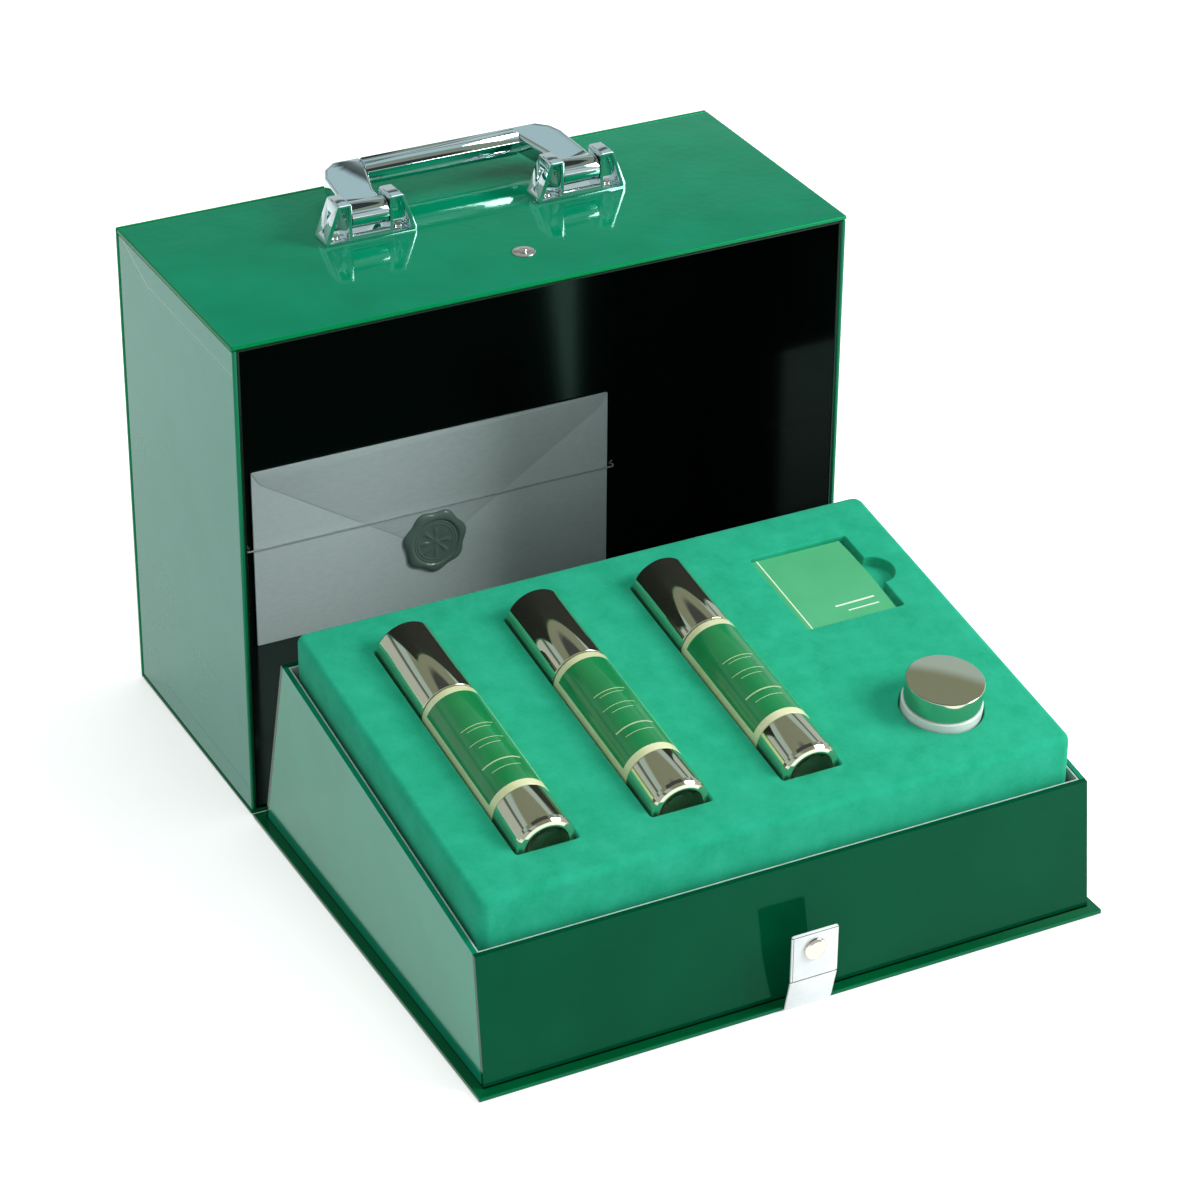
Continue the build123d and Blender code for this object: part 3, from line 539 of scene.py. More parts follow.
def booklet_cover(name):
    """Satin green card with a white line 3.5 mm from its left edge and two plain rules low on the right."""
    material, tree, shader, where = new_material(name)
    x, y, _ = add(tree, "SeparateXYZ", {"Vector": where}).node.outputs
    left = booklet_middle[0] - booklet_size[0] / 2
    front = foam_front + (booklet_middle[1] - booklet_size[1] / 2) * math.cos(foam_angle)
    marks = within(tree, x, left + 3.5 * mm, left + 4.2 * mm)
    for up, low, high, thick in ((13.0, 24.0, 47.0, 1.1), (8.0, 29.0, 47.0, 0.8)):
        wide = within(tree, x, left + low * mm, left + high * mm)
        tall = within(tree, y, front + up * mm, front + (up + thick) * mm)
        marks = add(tree, "Math", {0: wide, 1: tall, 2: marks}, operation="MULTIPLY_ADD")
    card = drifting_colour(tree, where, 30 * mm, 3, "48AC74", "52B37E")
    colour = add(tree, "Mix", {0: marks, 6: card, 7: "E3F0DE"}, 2, data_type="RGBA")
    give(tree, shader, {"Base Color": colour, "Roughness": 0.42,
                        "Normal": waves(tree, where, 1 * mm, 4, 0.02 * mm, Strength=0.4)})
    return material


def welted_film(name):
    """Glossy white film with heat-pressed lines, a little sunk and painted dark grey as the shade in them:
    one about
    1 mm inside the flap's top edge, one inside its left edge, and the crease. The flap's own map gives x and
    z."""
    material, tree, shader, where = new_material(name)
    flat = add(tree, "UVMap", {}, uv_map="flat")
    across, up, _ = add(tree, "SeparateXYZ", {"Vector": flat}).node.outputs
    top, crease = strap_top[1], strap_crease[1]
    lines = within(tree, up, top - 1.3 * mm, top - 0.8 * mm)
    side = within(tree, across, 0.8 * mm - strap_half_width, 1.15 * mm - strap_half_width)
    reach = within(tree, up, crease, top - 0.8 * mm)
    side = add(tree, "Math", {0: side, 1: reach}, operation="MULTIPLY")
    for line in (side, within(tree, up, crease - 0.36 * mm, crease + 0.36 * mm)):
        lines = add(tree, "Math", {0: lines, 1: line}, operation="MAXIMUM")
    # Painted shade: the pressed lines and the crease are darkened towards grey.
    shade = add(tree, "Math", {0: lines, 1: 0.92}, operation="MULTIPLY")
    sheet = drifting_colour(tree, where, 12 * mm, 2, "E6ECEE", "F1F5F6")
    raised = add(tree, "Math", {0: 1.0, 1: lines}, operation="SUBTRACT")
    pressed = add(tree, "Bump", {"Height": raised, "Distance": 0.15 * mm, "Strength": 0.6})
    colour = add(tree, "Mix", {0: shade, 6: sheet, 7: "3C4143"}, 2, data_type="RGBA")
    give(tree, shader, {"Base Color": colour, "Roughness": 0.22, "Coat Weight": 0.4,
                        "Normal": waves(tree, where, 6 * mm, 1, 0.02 * mm, Normal=pressed)})
    return material


# Printed paper under gloss film: deep wet greens, and sharp reflections that the ripple breaks up. Copies of
# one paper, each with the tone and gloss it shows in its own light: palest on the flanks, by a higher IOR,
# and near black on the front. The colours of the door's copy and of the tray front and rear's copy are
# darkened as painted shade.
door_paper_painted_shade = laminated_paper("gloss_laminated_paper_painted_shade_door", "00522C", "005D33", "005F30",
                             0.1, 0.012 * mm, "30E8C0")
front_paper_painted_shade = laminated_paper("gloss_laminated_paper_painted_shade_tray", "004027", "00482D", "00502C",
                              0.07, 0.008 * mm, "10C090", 1.47, joint=True)
flank_paper = laminated_paper("gloss_laminated_flank_paper", "007A5A", "048463", "00502C",
                              0.14, 0.006 * mm, "8CFFE4", 1.95, joint=True)
wall_papers = {"tray_wall_front": front_paper_painted_shade, "tray_wall_rear": front_paper_painted_shade,
               "tray_wall_left": flank_paper, "tray_wall_right": flank_paper, "cover_door_board": door_paper_painted_shade}
# Uncoated paper: a dull warm white
page_paper = satin_paper("white_page_paper", "DDE5DC", "EEF2EC", 0.8, 0.4 * mm)
finishes = {
    "cover_paper": laminated_paper("gloss_laminated_cover_paper", "007A56", "048862", "007A3E",
                                   0.07, 0.023 * mm, "30E8C0"),
    "side_paper": laminated_paper("gloss_laminated_side_paper", "00725A", "047B61", "006236",
                                  0.16, 0.006 * mm, "70F0DA", 1.8, turn_in=True),
    # Black paper under the same film: almost no colour of its own, and a cool soft mirror of the insert
    "lining_paper": laminated_paper("gloss_black_lining_paper", "060D0B", "08130F", "03100B",
                                    0.12, 0.006 * mm, "7CB8A4"),
    # Chrome plate on polished steel: a hard cool mirror, black and white by what it faces
    "chrome": plated_metal("polished_chrome_plate", "D2E4E6", 0.03),
    # Nickelled steel fasteners: warmer and softer than the chrome
    "steel": plated_metal("nickelled_steel", "DAD6CC", 0.12, 3 * mm),
    # Metallised shell under satin lacquer: pale champagne, streaked by blurred reflections
    "bottle_metal": plated_metal("satin_lacquered_metallised_shell", "CDD0BA", 0.035, 6 * mm, 0.96),
    # Lacquer with a screen print: a smooth coat whose highlights run on over the print's edge
    "bottle_body": printed_bottle("cream_lacquer_with_green_print"),
    # Flock: velvety, palest at its rims, with no highlight
    "foam": flocked_foam("flocked_foam"),
    # Metallised board: a grey satin that takes up the green beside it
    "silver_paper": satin_paper("silver_tray_board", "A9BDB6", "C4D3CD", 0.35),
    # Polypropylene: a soft waxy white. The jar's clear-coated plastic is whiter and glossier
    "pump_plastic": moulded_plastic("white_polypropylene", "E4E6E2", 0.35),
    "jar_plastic": moulded_plastic("white_san_plastic", "E3E9E8", 0.12, 0.8),
    # Coated card: an even satin green with soft highlights
    "booklet_paper": booklet_cover("satin_green_card"),
    # Pearl paper: bright, cool and smooth
    "envelope_paper": satin_paper("pearl_envelope_paper", "DAF0EE", "E6F8F5", 0.4),
    # Pressed wax: grey green, with small bright highlights along its rims
    "wax": moulded_plastic("grey_green_seal_wax", "6F8A80", 0.3, 0.3),
    # Glossy film on the strap: bright white, with pressed lines painted grey as shade
    "strap": welted_film("white_glossy_strap_film"),
    # Braided cord: dull pale grey
    "elastic": satin_paper("elastic_braid", "A9B5B5", "C4CDCD", 0.6, 0.6 * mm),
}
for part in frame["record"]["subparts"]:
    node = frame["nodes"][part["node"]]
    node.data.materials.clear()
    node.data.materials.append(wall_papers.get(part["node"], finishes[part["material_slot"]]))


# Rigid metal: the handle's CAD nodes stay, with their corners joined, eased and smoothly shaded

def ease_edges(names, width, segments, angle=30):
    """Joins a node's loose triangles, rounds its edges over angle by width, and shades flats as flat."""
    for name in names:
        node = frame["nodes"][name]
        node.data.shade_smooth()
        weld = node.modifiers.new("weld", "WELD")
        weld.merge_threshold = 0.002 * mm
        bevel = node.modifiers.new("eased_edges", "BEVEL")
        bevel.width = width
        bevel.segments = segments
        bevel.limit_method = "ANGLE"
        bevel.angle_limit = math.radians(angle)
        bevel.harden_normals = True


ease_edges([f"handle_bracket_{side}" for side in ("left", "right")], 0.35 * mm, 3)
ease_edges([f"handle_arm_{side}" for side in ("left", "right")], 0.4 * mm, 3)
ease_edges(["handle_grip"], 0.3 * mm, 2, 20)


# Case boards: slabs whose wrapped edges are round

def wrapped_board(name, node, slot, material=None):
    """A board in its CAD node's box: a slab across the box's thinnest side, its edges round by 1.1 mm.
    The attribute "wrap" is 1 round the edges and 0 on the two flats, which are shaded flat."""
    low, high = (np.array(corner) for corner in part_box(node))
    thin = int(np.argmin(high - low))
    axes = np.eye(3)[[(thin + 1) % 3, (thin + 2) % 3, thin]]
    size, middle = axes @ (high - low), axes @ (low + high) / 2
    edge, fade = 1.1 * mm, 0.25 * mm
    slab, faces = rounded_slab(rectangle((0, 0), size[:2], edge), size[2], edge, 6)
    centred = slab + (*middle[:2], middle[2] - size[2] / 2)
    board = piece(name, (centred @ axes, faces), "case", slot, [node], material)
    painted_edge_tone = board.data.attributes.new("painted_edge_tone", "FLOAT", "POINT")
    depth = np.minimum(slab[:, 2], size[2] - slab[:, 2])
    painted_edge_tone.data.foreach_set("value", np.clip(depth / fade, 0, 1))
    corners = np.empty(len(board.data.polygons), int)
    board.data.polygons.foreach_get("loop_total", corners)
    board.data.polygons.foreach_set("use_smooth", corners <= 4)


for side in ("top", "back"):
    wrapped_board(f"wrapped_{side}_board", f"cover_{side}_board", "cover_paper")
# The bottom board takes the door's copy of the paper, its colour darkened as painted shade.
wrapped_board("wrapped_bottom_board", "cover_bottom_board", "cover_paper", door_paper_painted_shade)
for side in ("left", "right"):
    wrapped_board(f"wrapped_{side}_side_board", f"side_board_{side}", "side_paper")


# Foam: the shaped insert, and the wedge under it

def pocket_outline():
    """The booklet's pocket, a rectangle with a half round finger notch in the middle of its right side."""
    turn = np.linspace(-math.pi / 2, math.pi / 2, 25)
    notch = notch_radius * np.column_stack([np.cos(turn), np.sin(turn)]) + (pocket_size[0] / 2, 0)
    return np.concatenate([notch, rectangle((0, 0), pocket_size, 1.2 * mm, 3)]) + pocket_place


def slope_height(y):
    """The height of the foam's flat top at y: front_top + slope*(y - front)."""
    return foam_front_top + (y - foam_front) * foam_slope


def foam_insert_mesh():
    """The shaped foam. Its sides and rounded rim are rings of its plan outline, each point at the top's
    height less the ring's drop. Its flat top is triangles between the rim and the pockets' lips."""
    rim, foot = 4.0 * mm, 1.5 * mm
    drop = foam_thick / math.cos(foam_angle)
    plan = round_corners([(-foam_half, foam_front), (foam_half, foam_front),
                          (foam_half, foam_rear), (-foam_half, foam_rear)], foam_corner, 6)
    levels = [(inset, drop - up) for inset, up in quarter(foot, 3)]
    levels += [(0.0, drop * share) for share in (0.66, 0.33)]
    levels += [(inset, down) for inset, down in quarter(rim, 6, False)]
    rings = []
    for inset, down in levels:
        ring = offset_outline(plan, inset)
        rings.append(np.column_stack([ring, slope_height(ring[:, 1]) - down]))
    sides = tube_faces(len(rings), len(plan))[:-1]
    turn = full_turn(72)
    jar_edge = np.column_stack([np.cos(turn), np.sin(turn)]) * jar_hole + jar_place
    bed_size = (2 * (bottle_radius + bottle_clear), bottle_length + 2 * bottle_clear)
    bed_depth = bottle_radius + bottle_sink + 0.3 * mm
    beds = [rectangle((x, bottle_foot + bottle_length / 2), bed_size, 1.5 * mm) for x in bottle_xs]
    sunk = [sunk_rings(jar_edge, jar_depth + 0.5 * mm, 1.0 * mm),
            sunk_rings(pocket_outline(), pocket_depth, 0.7 * mm)]
    sunk += [sunk_rings(bed, bed_depth, 1.1 * mm) for bed in beds]
    loops = [(rings[-1] - foam_plane[0]) @ foam_axes.T] + [edge for _, edge in sunk]
    triangles = tessellate_polygon([[Vector((p[0], p[1], 0)) for p in loop] for loop in loops])
    flat = np.concatenate(loops)
    corners = flat[np.array(triangles)]
    first, second = corners[:, 1] - corners[:, 0], corners[:, 2] - corners[:, 0]
    upwards = first[:, 0] * second[:, 1] > first[:, 1] * second[:, 0]
    triangles = [tuple(t) if up else tuple(t[::-1]) for t, up in zip(triangles, upwards)]
    inside = join_meshes((flat, triangles), *[pit for pit, _ in sunk])
    return join_meshes((np.concatenate(rings), sides), (place(foam_plane, inside[0]), inside[1]))


def foam_base_mesh():
    """The wedge under the insert: its outline in (y, z), rounded and carried across the case as a slab."""
    drop = foam_thick / math.cos(foam_angle)
    low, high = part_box("foam_base")
    rear = foam_rear + 4.0 * mm
    front = foam_front - 1.3 * mm
    outline = [(low.y, low.z), (high.y, low.z), (rear, slope_height(rear) - drop),
               (front, slope_height(front) - drop)]
    across = (np.array((low.x, 0, 0)), np.array([(0, 1, 0), (0, 0, 1), (1, 0, 0)]))
    slab, faces = rounded_slab(round_corners(outline, 1.5 * mm, 3), high.x - low.x, 1.5 * mm)
    return place(across, slab), faces


foam_insert = piece("flocked_foam_insert", foam_insert_mesh(), "door", "foam", ["foam_insert"])
foam_base = piece("flocked_foam_base", foam_base_mesh(), "door", "foam", ["foam_base"])


# Bottles: a metal base shell, a printed body and a metal cap shell, each a closed (radius, height)
# outline in mm, with heights from the foot along the axis. The third axis is the bottle's.

bottle_axes = np.array([foam_axes[0], -foam_axes[2], foam_axes[1]])
base_outline = np.array([
    (0, 3.6), (6.0, 3.2), (9.0, 2.3), (11.2, 0.8), (11.9, 0.1), (12.8, 0.1), (14.4, 0.8), (15.5, 2.2),
    (15.9, 4.2), (15.9, 27.5),
    (14.7, 27.5), (14.7, 6.2), (0, 6.2)]) * mm
body_outline = np.array([
    (0, 6.3), (14.6, 6.3), (14.6, 27.7), (16.0, 27.7), (16.0, 107.0), (15.0, 108.0), (12.5, 108.0),
    (12.5, 111.5), (10.5, 111.5), (10.5, 105.5), (13.2, 103.0), (13.2, 7.9), (0, 7.9)]) * mm
cap_outline = np.array([
    (14.5, 108.4), (15.9, 108.4), (15.9, 162.1), (0, 162.1), (0, 160.2), (14.5, 160.2)]) * mm
for number, x in enumerate(bottle_xs, start=1):
    bottle = (place(foam_plane, (x, bottle_foot, -bottle_sink)), bottle_axes)
    name = f"bottle_{number}"
    piece(f"{name}_base_shell", turned(base_outline, bottle, 0.35 * mm), name, "bottle_metal",
          [f"{name}_base"])
    body = piece(f"{name}_printed_body", turned(body_outline, bottle, 0.35 * mm), name, "bottle_body",
                 [f"{name}_body"])
    unrolled_map(body, bottle, bottle_radius)
    piece(f"{name}_cap_shell", turned(cap_outline, bottle, 1.0 * mm), name, "bottle_metal", [f"{name}_cap"])


# Jar: a double-walled body and a lid shell, with heights from the foam's top

jar = (place(foam_plane, (*jar_place, 0)), foam_axes)
jar_body_outline = np.array([
    (0, -29), (20.9, -29), (20.9, 4.2), (18.2, 4.2), (18.2, 12), (16.6, 12), (16.6, -25), (0, -25)]) * mm
jar_lid_outline = np.array([
    (18.5, 4.6), (20.1, 4.6), (20.1, 16.5), (0, 16.5), (0, 14.9), (18.5, 14.9)]) * mm
piece("jar_glossy_body", turned(jar_body_outline, jar, 0.7 * mm), "jar", "jar_plastic", ["jar_body"])
piece("jar_lid_shell", turned(jar_lid_outline, jar, 0.5 * mm), "jar_lid_part", "bottle_metal", ["jar_lid"])


# Booklet: a block of pages, and a card cover that bows up at its free edge

def booklet_cover_mesh():
    """A folded card. Its sheet follows (u, w) along the bottom, round the spine and back over the top,
    and its top is at w = high + rise*s^2*(1 - t^2), s from 0 at the spine to 1 at the free edge, t from
    -1 to 1 along v. The inside is the same sheet moved in by the card's thickness."""
    half_u, half_v = booklet_size[0] / 2, booklet_size[1] / 2
    thick, low, high, rise, spine = 0.3 * mm, -5.9 * mm, -2.3 * mm, 1.3 * mm, 0.8 * mm
    share = np.linspace(0, 1, 25)
    level = np.ones_like(share)
    turn = np.linspace(-math.pi / 2, -3 * math.pi / 2, 9)[1:-1]
    flat = -half_u + spine + share * (2 * half_u - spine)
    round_spine = np.column_stack([spine * (1 + np.cos(turn)) - half_u,
                                   (low + high) / 2 + (high - low) / 2 * np.sin(turn)])
    sheet = np.concatenate([np.column_stack([flat[::-1], low * level]), round_spine,
                            np.column_stack([flat, high * level])])
    lift = np.concatenate([0 * level, 0 * turn, share ** 2])
    ahead = unit_rows(np.gradient(sheet, axis=0))
    inner = sheet - np.column_stack([-ahead[:, 1], ahead[:, 0]]) * thick
    section = np.concatenate([sheet, inner[::-1]])
    lift = np.concatenate([lift, lift[::-1]])
    along = np.linspace(-1, 1, 25)
    w = section[:, 1] + rise * lift * (1 - along[:, None] ** 2)
    u = np.broadcast_to(section[:, 0] + booklet_middle[0], w.shape)
    v = np.broadcast_to(half_v * along[:, None] + booklet_middle[1], w.shape)
    count = len(section)
    faces = ring_faces(len(along), count)
    k = np.arange(len(sheet) - 1)
    ends = np.stack([k, count - 1 - k, count - 2 - k, k + 1], 1)
    last = (len(along) - 1) * count
    faces += [tuple(quad) for quad in ends] + [tuple(quad[::-1]) for quad in ends + last]
    return place(foam_plane, np.stack([u, v, w], -1).reshape(-1, 3)), faces


def page_block_mesh():
    """The pages: a slab with tight corners between the covers, 0.7 mm short of their edges."""
    size = (booklet_size[0] - 2.2 * mm, booklet_size[1] - 1.4 * mm)
    slab, faces = rounded_slab(rectangle(booklet_middle, size, 0.3 * mm, 2), 2.9 * mm, 0.1 * mm, 2)
    return place(foam_plane, slab + (0, 0, -5.55 * mm)), faces


piece("booklet_pages", page_block_mesh(), "booklet_part", "booklet_paper", material=page_paper)
piece("booklet_card_cover", booklet_cover_mesh(), "booklet_part", "booklet_paper", ["booklet"])


# Strap: bands along (y, z) paths, centred on the strap's x

def bent_line(corners, radius):
    """A (y, z) path through the corners, its inner ones turned into arcs of the radius."""
    line = [np.asarray(corners[:1], float)]
    for k in range(1, len(corners) - 1):
        line.append(round_corners(corners[k - 1:k + 2], (0, radius, 0), 12)[1:-1])
    return np.concatenate(line + [np.asarray(corners[-1:], float)])


def band(line, width, thickness, soft=0.25 * mm):
    """A flat band along a (y, z) path. At distance s along it, the section square to the path is a
    rectangle with half sizes width(s) and thickness(s) and round corners of radius soft. At distance d
    from an end, d < soft, it is smaller by soft - sqrt(soft^2 - (soft - d)^2), so the ends are round."""
    gone = distance_along(line)
    length = gone[-1]
    ends = soft * (1 - np.cos(np.linspace(0, math.pi / 2, 4)[:-1]))
    run = np.linspace(soft, length - soft, round(length / (0.3 * mm)))
    s = np.concatenate([ends, run, length - ends[::-1]])
    points = np.column_stack([np.interp(s, gone, line[:, k]) for k in (0, 1)])
    ahead = unit_rows(np.gradient(points, axis=0))
    back_of = np.column_stack([ahead[:, 1], -ahead[:, 0]])
    near = np.clip(soft - np.minimum(s, length - s), 0, soft)
    shrink = soft - np.sqrt(soft ** 2 - near ** 2)
    turn = full_turn(20) + math.pi / 20
    unit = np.column_stack([np.cos(turn), np.sin(turn)])
    half = np.column_stack([width(s), thickness(s)]) - soft
    ring = np.sign(unit) * half[:, None, :] + unit * (soft - shrink)[:, None, None]
    yz = points[:, None, :] + ring[:, :, 1:] * back_of[:, None, :]
    rings = np.concatenate([strap_x + ring[:, :, :1], yz], axis=2)
    return rings.reshape(-1, 3), tube_faces(len(rings), len(unit))


# The tail lies under the door to tail_start, and turns up at the door's edge. Halfway to the crease it
# meets the flap. Lengths along the flap run from there.
tail_z = 0.46 * mm
tail_start = -335.4 * mm
tail_corner = strap_root + strap_up * (tail_z - strap_root[1]) / strap_up[1]
tail_line = bent_line([(tail_start, tail_z), tail_corner, strap_middle], 0.9 * mm)
tail_length = strap_root[0] - tail_start
flap_line = bent_line([strap_middle, strap_crease, strap_top], 1.5 * mm)
flap_length = 36.9 * mm


def tail_width(s):
    """Half width, the same all along."""
    return np.full(len(s), strap_half_width)


def tail_thickness(s):
    """Half thickness, 0.4 mm in the recess under the door, 0.6 mm past the fold."""
    return 0.4 * mm + 0.2 * mm * np.clip((s + tail_length - 1.0 * mm) / (3.0 * mm), 0, 1)


def flap_width(s):
    """Half width 13 mm, with round corners of r = 1.2 mm at the top: at distance d from it, d < r, the
    half width is less by r - sqrt(r^2 - (r - d)^2)."""
    r = 1.2 * mm
    near = np.clip(r - (flap_length - s), 0, r)
    return strap_half_width - (r - np.sqrt(r ** 2 - near ** 2))


def flap_thickness(s):
    """Half thickness 0.6 mm, thinner by 0.3*exp(-(d/0.4)^2) mm at distance d from the pressed crease."""
    return 0.6 * mm - 0.3 * mm * np.exp(-((s - 10.0 * mm) / (0.4 * mm)) ** 2)


tail = piece("strap_tail_and_fold", band(tail_line, tail_width, tail_thickness), None, "strap",
             ["strap_tail", "strap_lower"])
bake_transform(tail)
flap = piece("strap_crease_and_flap", band(flap_line, flap_width, flap_thickness), None, "strap",
             ["strap_upper"])
flat_map(tail)
flat_map(flap)
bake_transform(flap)


# Press stud: the cap on the strap, and the stud on the case's top

upright_axes = np.array([(1, 0, 0), (0, 0, 1), (0, -1, 0)])
snap_plane = ((strap_x, strap_crease[0], strap_crease[1] + 17.16 * mm), upright_axes)
snap_cap_outline = np.array([
    (0, -0.6), (1.5, -0.6), (1.5, 0.6), (5.9, 0.6), (6.25, 1.1), (5.9, 1.9), (4.4, 2.6), (2.2, 3.0),
    (0, 3.1)]) * mm
piece("snap_cap_shell", turned(snap_cap_outline, snap_plane, 0.5 * mm, 96), "strap_upper_flap", "steel",
      ["snap_cap"])
stud_plane = ((strap_x, -43.5 * mm, 274.0 * mm), np.eye(3))
stud_outline = np.array([
    (0, -1.9), (1.3, -1.9), (1.3, 0), (5.9, 0), (6.2, 0.2), (5.9, 0.6), (3.0, 0.7), (1.6, 0.7), (1.6, 1.2),
    (2.1, 1.6), (1.7, 2.2), (0, 2.3)]) * mm
piece("snap_stud_turned", turned(stud_outline, stud_plane, 0.25 * mm, 96), "case", "steel", ["snap_stud"])


# Paper joint between the bottom board and the door

def hinge_strip_mesh():
    """A 0.3 mm sheet: rows across the case every 0.2 mm of y, each a four-point section, ends closed."""
    xs = np.array((-174.5, -174.5, 174.5, 174.5)) * mm
    zs = np.array((0.02, 0.28, 0.28, 0.02)) * mm
    ys = np.linspace(-78.5, -81.2, 15)[:, None] * mm
    points = np.stack(np.broadcast_arrays(xs, ys, zs), -1)
    return points.reshape(-1, 3), tube_faces(15, 4)


# The strip takes the door's copy of the paper, its colour darkened as painted shade.
strip = piece("paper_hinge_strip", hinge_strip_mesh(), None, "cover_paper", ["door_hinge_strip"], door_paper_painted_shade)
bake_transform(strip)


# Elastic cord across the back wall

def elastic_mesh():
    """Two twisted plies, drawn as one tube of radius r*(1 + 0.15*cos(2*(a - 2*pi*s/lay))) at angle a and
    distance s along the path, lay 3.5 mm. The path is three runs with 2 mm bends in the plane z = 66 mm."""
    y_foot, y_run, z = 75.9 * mm, 71.9 * mm, 66.0 * mm
    left, right, lay = -111.5 * mm, 117.0 * mm, 3.5 * mm
    bent = bent_line([(y_foot, left), (y_run, left), (y_run, right), (y_foot, right)], 2 * mm)
    gone = distance_along(bent)
    s = np.linspace(0, gone[-1], 700)
    y, x = (np.interp(s, gone, bent[:, k]) for k in (0, 1))
    ahead = unit_rows(np.gradient(np.column_stack([x, y]), s, axis=0))
    side = np.column_stack([ahead[:, 1], -ahead[:, 0], np.zeros(len(s))])
    turn = full_turn(16)
    radius = 0.5 * mm * (1 + 0.15 * np.cos(2 * (turn - 2 * math.pi * s[:, None] / lay)))
    centre = np.column_stack([x, y, np.full(len(s), z)])
    points = centre[:, None, :] + (radius * np.cos(turn))[:, :, None] * side[:, None, :]
    points[:, :, 2] += radius * np.sin(turn)
    return points.reshape(-1, 3), tube_faces(len(s), len(turn))


piece("elastic_twisted_cord", elastic_mesh(), "case", "elastic", ["elastic_cord"])


# Envelope, with its flap folded down to a rounded point, and the wax seal on it

letter_plane = (np.array((envelope_x, envelope_back, 0)), upright_axes)


def envelope_mesh():
    """Two slabs: the folded sheet, and the flap over it, whose long edges run to a rounded point."""
    half, top = envelope_size[0] / 2, envelope_foot + envelope_size[1]
    sheet = rounded_slab(rectangle((0, envelope_foot + envelope_size[1] / 2), envelope_size, 1.0 * mm),
                         envelope_thick, 0.35 * mm)
    tip = [(-half + 0.3 * mm, top - 0.2 * mm), (-half + 5 * mm, top - 8 * mm), (0, seal_z - 6 * mm),
           (half - 5 * mm, top - 8 * mm), (half - 0.3 * mm, top - 0.2 * mm)]
    corners = (0.3 * mm, 9 * mm, 26 * mm, 9 * mm, 0.3 * mm)
    leaf, faces = rounded_slab(round_corners(tip, corners, 10), 0.3 * mm, 0.12 * mm, 2)
    both = join_meshes(sheet, (leaf + (0, 0, envelope_thick), faces))
    return place(letter_plane, both[0]), both[1]


def seal_mesh():
    """A pressed wax seal in polar form, at share p of the wavy edge R(a) = 20 - 0.9*(1 - sin 7a) mm.

    The height is the rim's 2.4 mm, falling to 0 on a quarter circle over the last 0.22 of the share, and
    a pressed disc 1.5 mm high inside 14.2 mm. On the disc stand ridges h*exp(-((r - at)/wide)^2): eight
    plain petals 0.55 mm high, a boss in the middle, and two fine rings.
    """
    a = full_turn(168)
    crown, fallen = 0.78, 0.22
    p = crown + fallen * np.sin(np.linspace(0, math.pi / 2, 12))[1:]
    p = np.concatenate([np.linspace(0.02, crown, 60), p])[:, None]
    r = p * (seal_radius - 0.9 * mm * (1 - np.sin(7 * a)))
    fall = np.sqrt(np.clip(1 - (np.clip(p - crown, 0, 1) / fallen) ** 2, 0, 1))
    rim = 2.4 * mm * fall + 0.12 * mm * np.sin(3 * a + 1) * fall * np.clip(p * 4 - 2.8, 0, 1)
    pressed = 1 / (1 + np.exp((r - 14.2 * mm) / (0.22 * mm)))
    eight_petals = np.clip(np.cos(8 * a), 0, 1) ** 0.7
    relief = 0
    for height, at, wide in ((0.55 * eight_petals, 6.6, 3.0), (0.55, 0, 1.7), (0.3, 11.2, 0.45),
                             (0.3, 12.7, 0.3)):
        relief = relief + height * mm * np.exp(-((r - at * mm) / (wide * mm)) ** 2)
    w = rim * (1 - pressed) + (1.5 * mm + relief) * pressed
    u, v = r * np.cos(a), r * np.sin(a)
    rows, count = w.shape
    points = np.stack([u, v, w], -1).reshape(-1, 3)
    points = np.concatenate([points, [(0, 0, w[0].mean()), (0, 0, 0)]])
    k, outer = np.arange(count), (rows - 1) * count
    beside, top, foot = (k + 1) % count, np.full(count, rows * count), np.full(count, rows * count + 1)
    faces = [quad[::-1] for quad in ring_faces(rows, count)]
    faces += np.stack([k, beside, top], 1).tolist()
    faces += np.stack([outer + beside, outer + k, foot], 1).tolist()
    flap_face = letter_plane[0] + upright_axes[2] * (envelope_thick + 0.3 * mm)
    return place((flap_face + (0, 0, seal_z), upright_axes), points), faces


piece("envelope_and_flap", envelope_mesh(), "letter", "envelope_paper", ["envelope"])
piece("pressed_wax_seal", seal_mesh(), "letter", "wax", ["wax_seal"], sharp=60)


# Camera, floor and light. Their numbers were fitted to the photograph, except the camera's.

def make_camera():
    """The photograph's camera: its place, axes and focal length, solved from the case's own edges there."""
    right = Vector((0.8893061, -0.4572474, 0.0077117))
    up = Vector((0.2243024, 0.4508197, 0.8639734))
    focal_pixels, image_pixels = 3974.71, 1200
    data = bpy.data.cameras.new("camera")
    data.sensor_width = 36
    data.lens = focal_pixels / image_pixels * data.sensor_width
    data.clip_start, data.clip_end = 0.05, 50
    camera = bpy.data.objects.new("camera", data)
    bpy.context.scene.collection.objects.link(camera)
    turn = Matrix((right, up, right.cross(up))).transposed()
    camera.matrix_world = Matrix.Translation((-0.81908, -1.71247, 1.15067)) @ turn.to_4x4()
    bpy.context.scene.camera = camera


def softbox(name, where, size, power, in_gloss=True):
    """A square area light that faces the object's middle. in_gloss says whether mirrors show it."""
    aim = Vector((0, -0.1, 0.1)) - Vector(where)
    data = bpy.data.lights.new(name, "AREA")
    data.shape = "RECTANGLE"
    data.size = data.size_y = size
    data.energy = power
    lamp = bpy.data.objects.new(name, data)
    bpy.context.scene.collection.objects.link(lamp)
    lamp.location = where
    lamp.rotation_mode = "QUATERNION"
    lamp.rotation_quaternion = aim.to_track_quat("-Z", "Y")
    lamp.visible_glossy = in_gloss


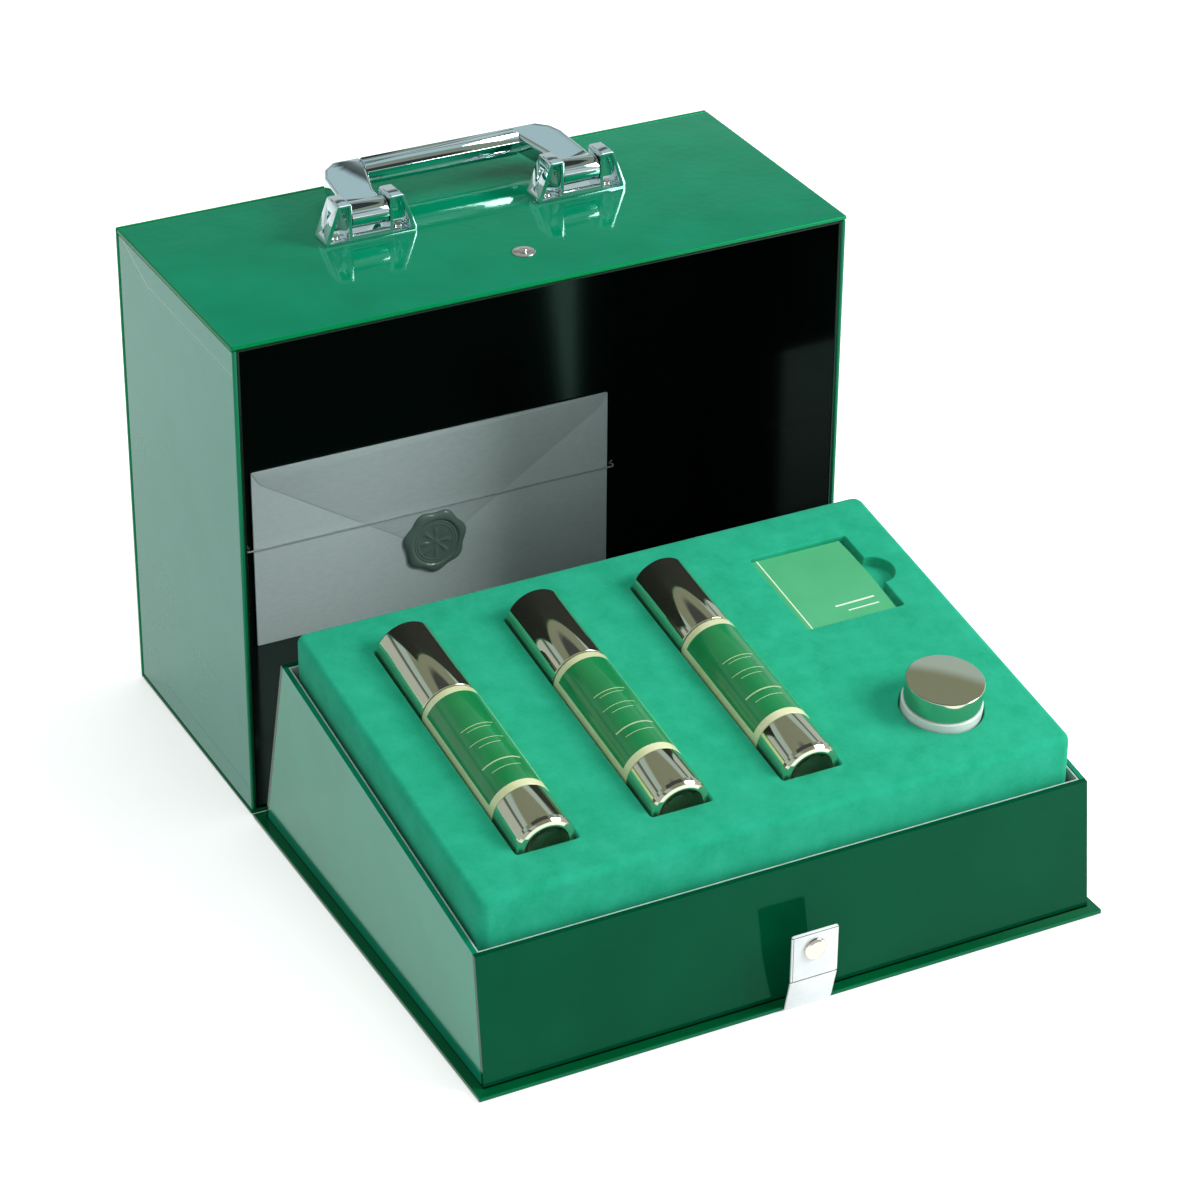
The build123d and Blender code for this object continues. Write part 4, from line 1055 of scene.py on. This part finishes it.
def make_floor():
    """A matt pale floor that reads as white where it is seen, directly or in gloss, and keeps the object's
    shadow. Seen directly it gets whiter from 0.8 to 2.2 m out, and so has no horizon."""
    half, gap, glow = 6.0, 0.4 * mm, 0.55
    corners = [(x * half, y * half, -gap) for x, y in ((-1, -1), (1, -1), (1, 1), (-1, 1))]
    material, tree, shader, where = new_material("matt_studio_floor")
    out = add(tree, "VectorMath", {0: where}, "Value", operation="LENGTH")
    whiter = add(tree, "MapRange", {
        "Value": out, "From Min": 0.8, "From Max": 2.2, "To Min": glow, "To Max": 1.0})
    ray = add(tree, "LightPath", {}).node.outputs
    direct = add(tree, "Math", {0: ray["Is Camera Ray"], 1: whiter}, operation="MULTIPLY")
    gloss = add(tree, "Math", {0: ray["Is Glossy Ray"], 1: ray["Is Transmission Ray"]}, operation="MAXIMUM")
    gloss = add(tree, "Math", {0: gloss, 1: glow}, operation="MULTIPLY")
    give(tree, shader, {"Base Color": drifting_colour(tree, where, 0.4, 2, "EEEEEE", "F1F1F1"),
                        "Roughness": 0.95, "Specular IOR Level": 0.05, "Emission Color": "FFFFFF",
                        "Emission Strength": add(tree, "Math", {0: direct, 1: gloss}, operation="MAXIMUM")})
    make_object("floor", (corners, [(0, 1, 2, 3)]), material)


def make_world():
    """A plain room, by the height of the direction looked in: white walls low down, a grey band, a pale
    blue window, a dim warm ceiling, and a dark panel overhead. Straight to the camera it is white."""
    world = bpy.data.worlds.new("studio")
    bpy.context.scene.world = world
    world.use_nodes = True
    tree = world.node_tree
    height = add(tree, "SeparateXYZ", {"Vector": add(tree, "TexCoord", {}, "Generated")}, "Z")
    wall, window, panel = (0.60, 0.62, 0.62, 1), (0.50, 0.60, 0.63, 1), (0.04, 0.045, 0.05, 1)
    room = add(tree, "ValToRGB", {"Fac": height}, stops=[
        (0.0, wall), (0.37, wall), (0.425, (0.16, 0.18, 0.18, 1)), (0.475, (0.07, 0.08, 0.08, 1)),
        (0.51, window), (0.64, window), (0.69, (0.27, 0.28, 0.21, 1)), (0.85, (0.28, 0.29, 0.23, 1)),
        (0.88, panel), (1.0, panel)])
    seen = add(tree, "LightPath", {}, "Is Camera Ray")
    shown = add(tree, "Mix", {0: seen, 6: room, 7: "FFFFFF"}, 2, data_type="RGBA")
    give(tree, tree.nodes["Background"], {"Color": shown})


make_camera()
make_floor()
make_world()
softbox("key_softbox", (1.85, -1.38, 1.45), 1.1, 56)
softbox("fill_softbox", (-1.2, -2.1, 1.4), 1.0, 6, False)
softbox("overhead_softbox", (0.2, 0.1, 2.2), 1.6, 20, False)
bpy.context.scene.view_settings.view_transform = "Standard"
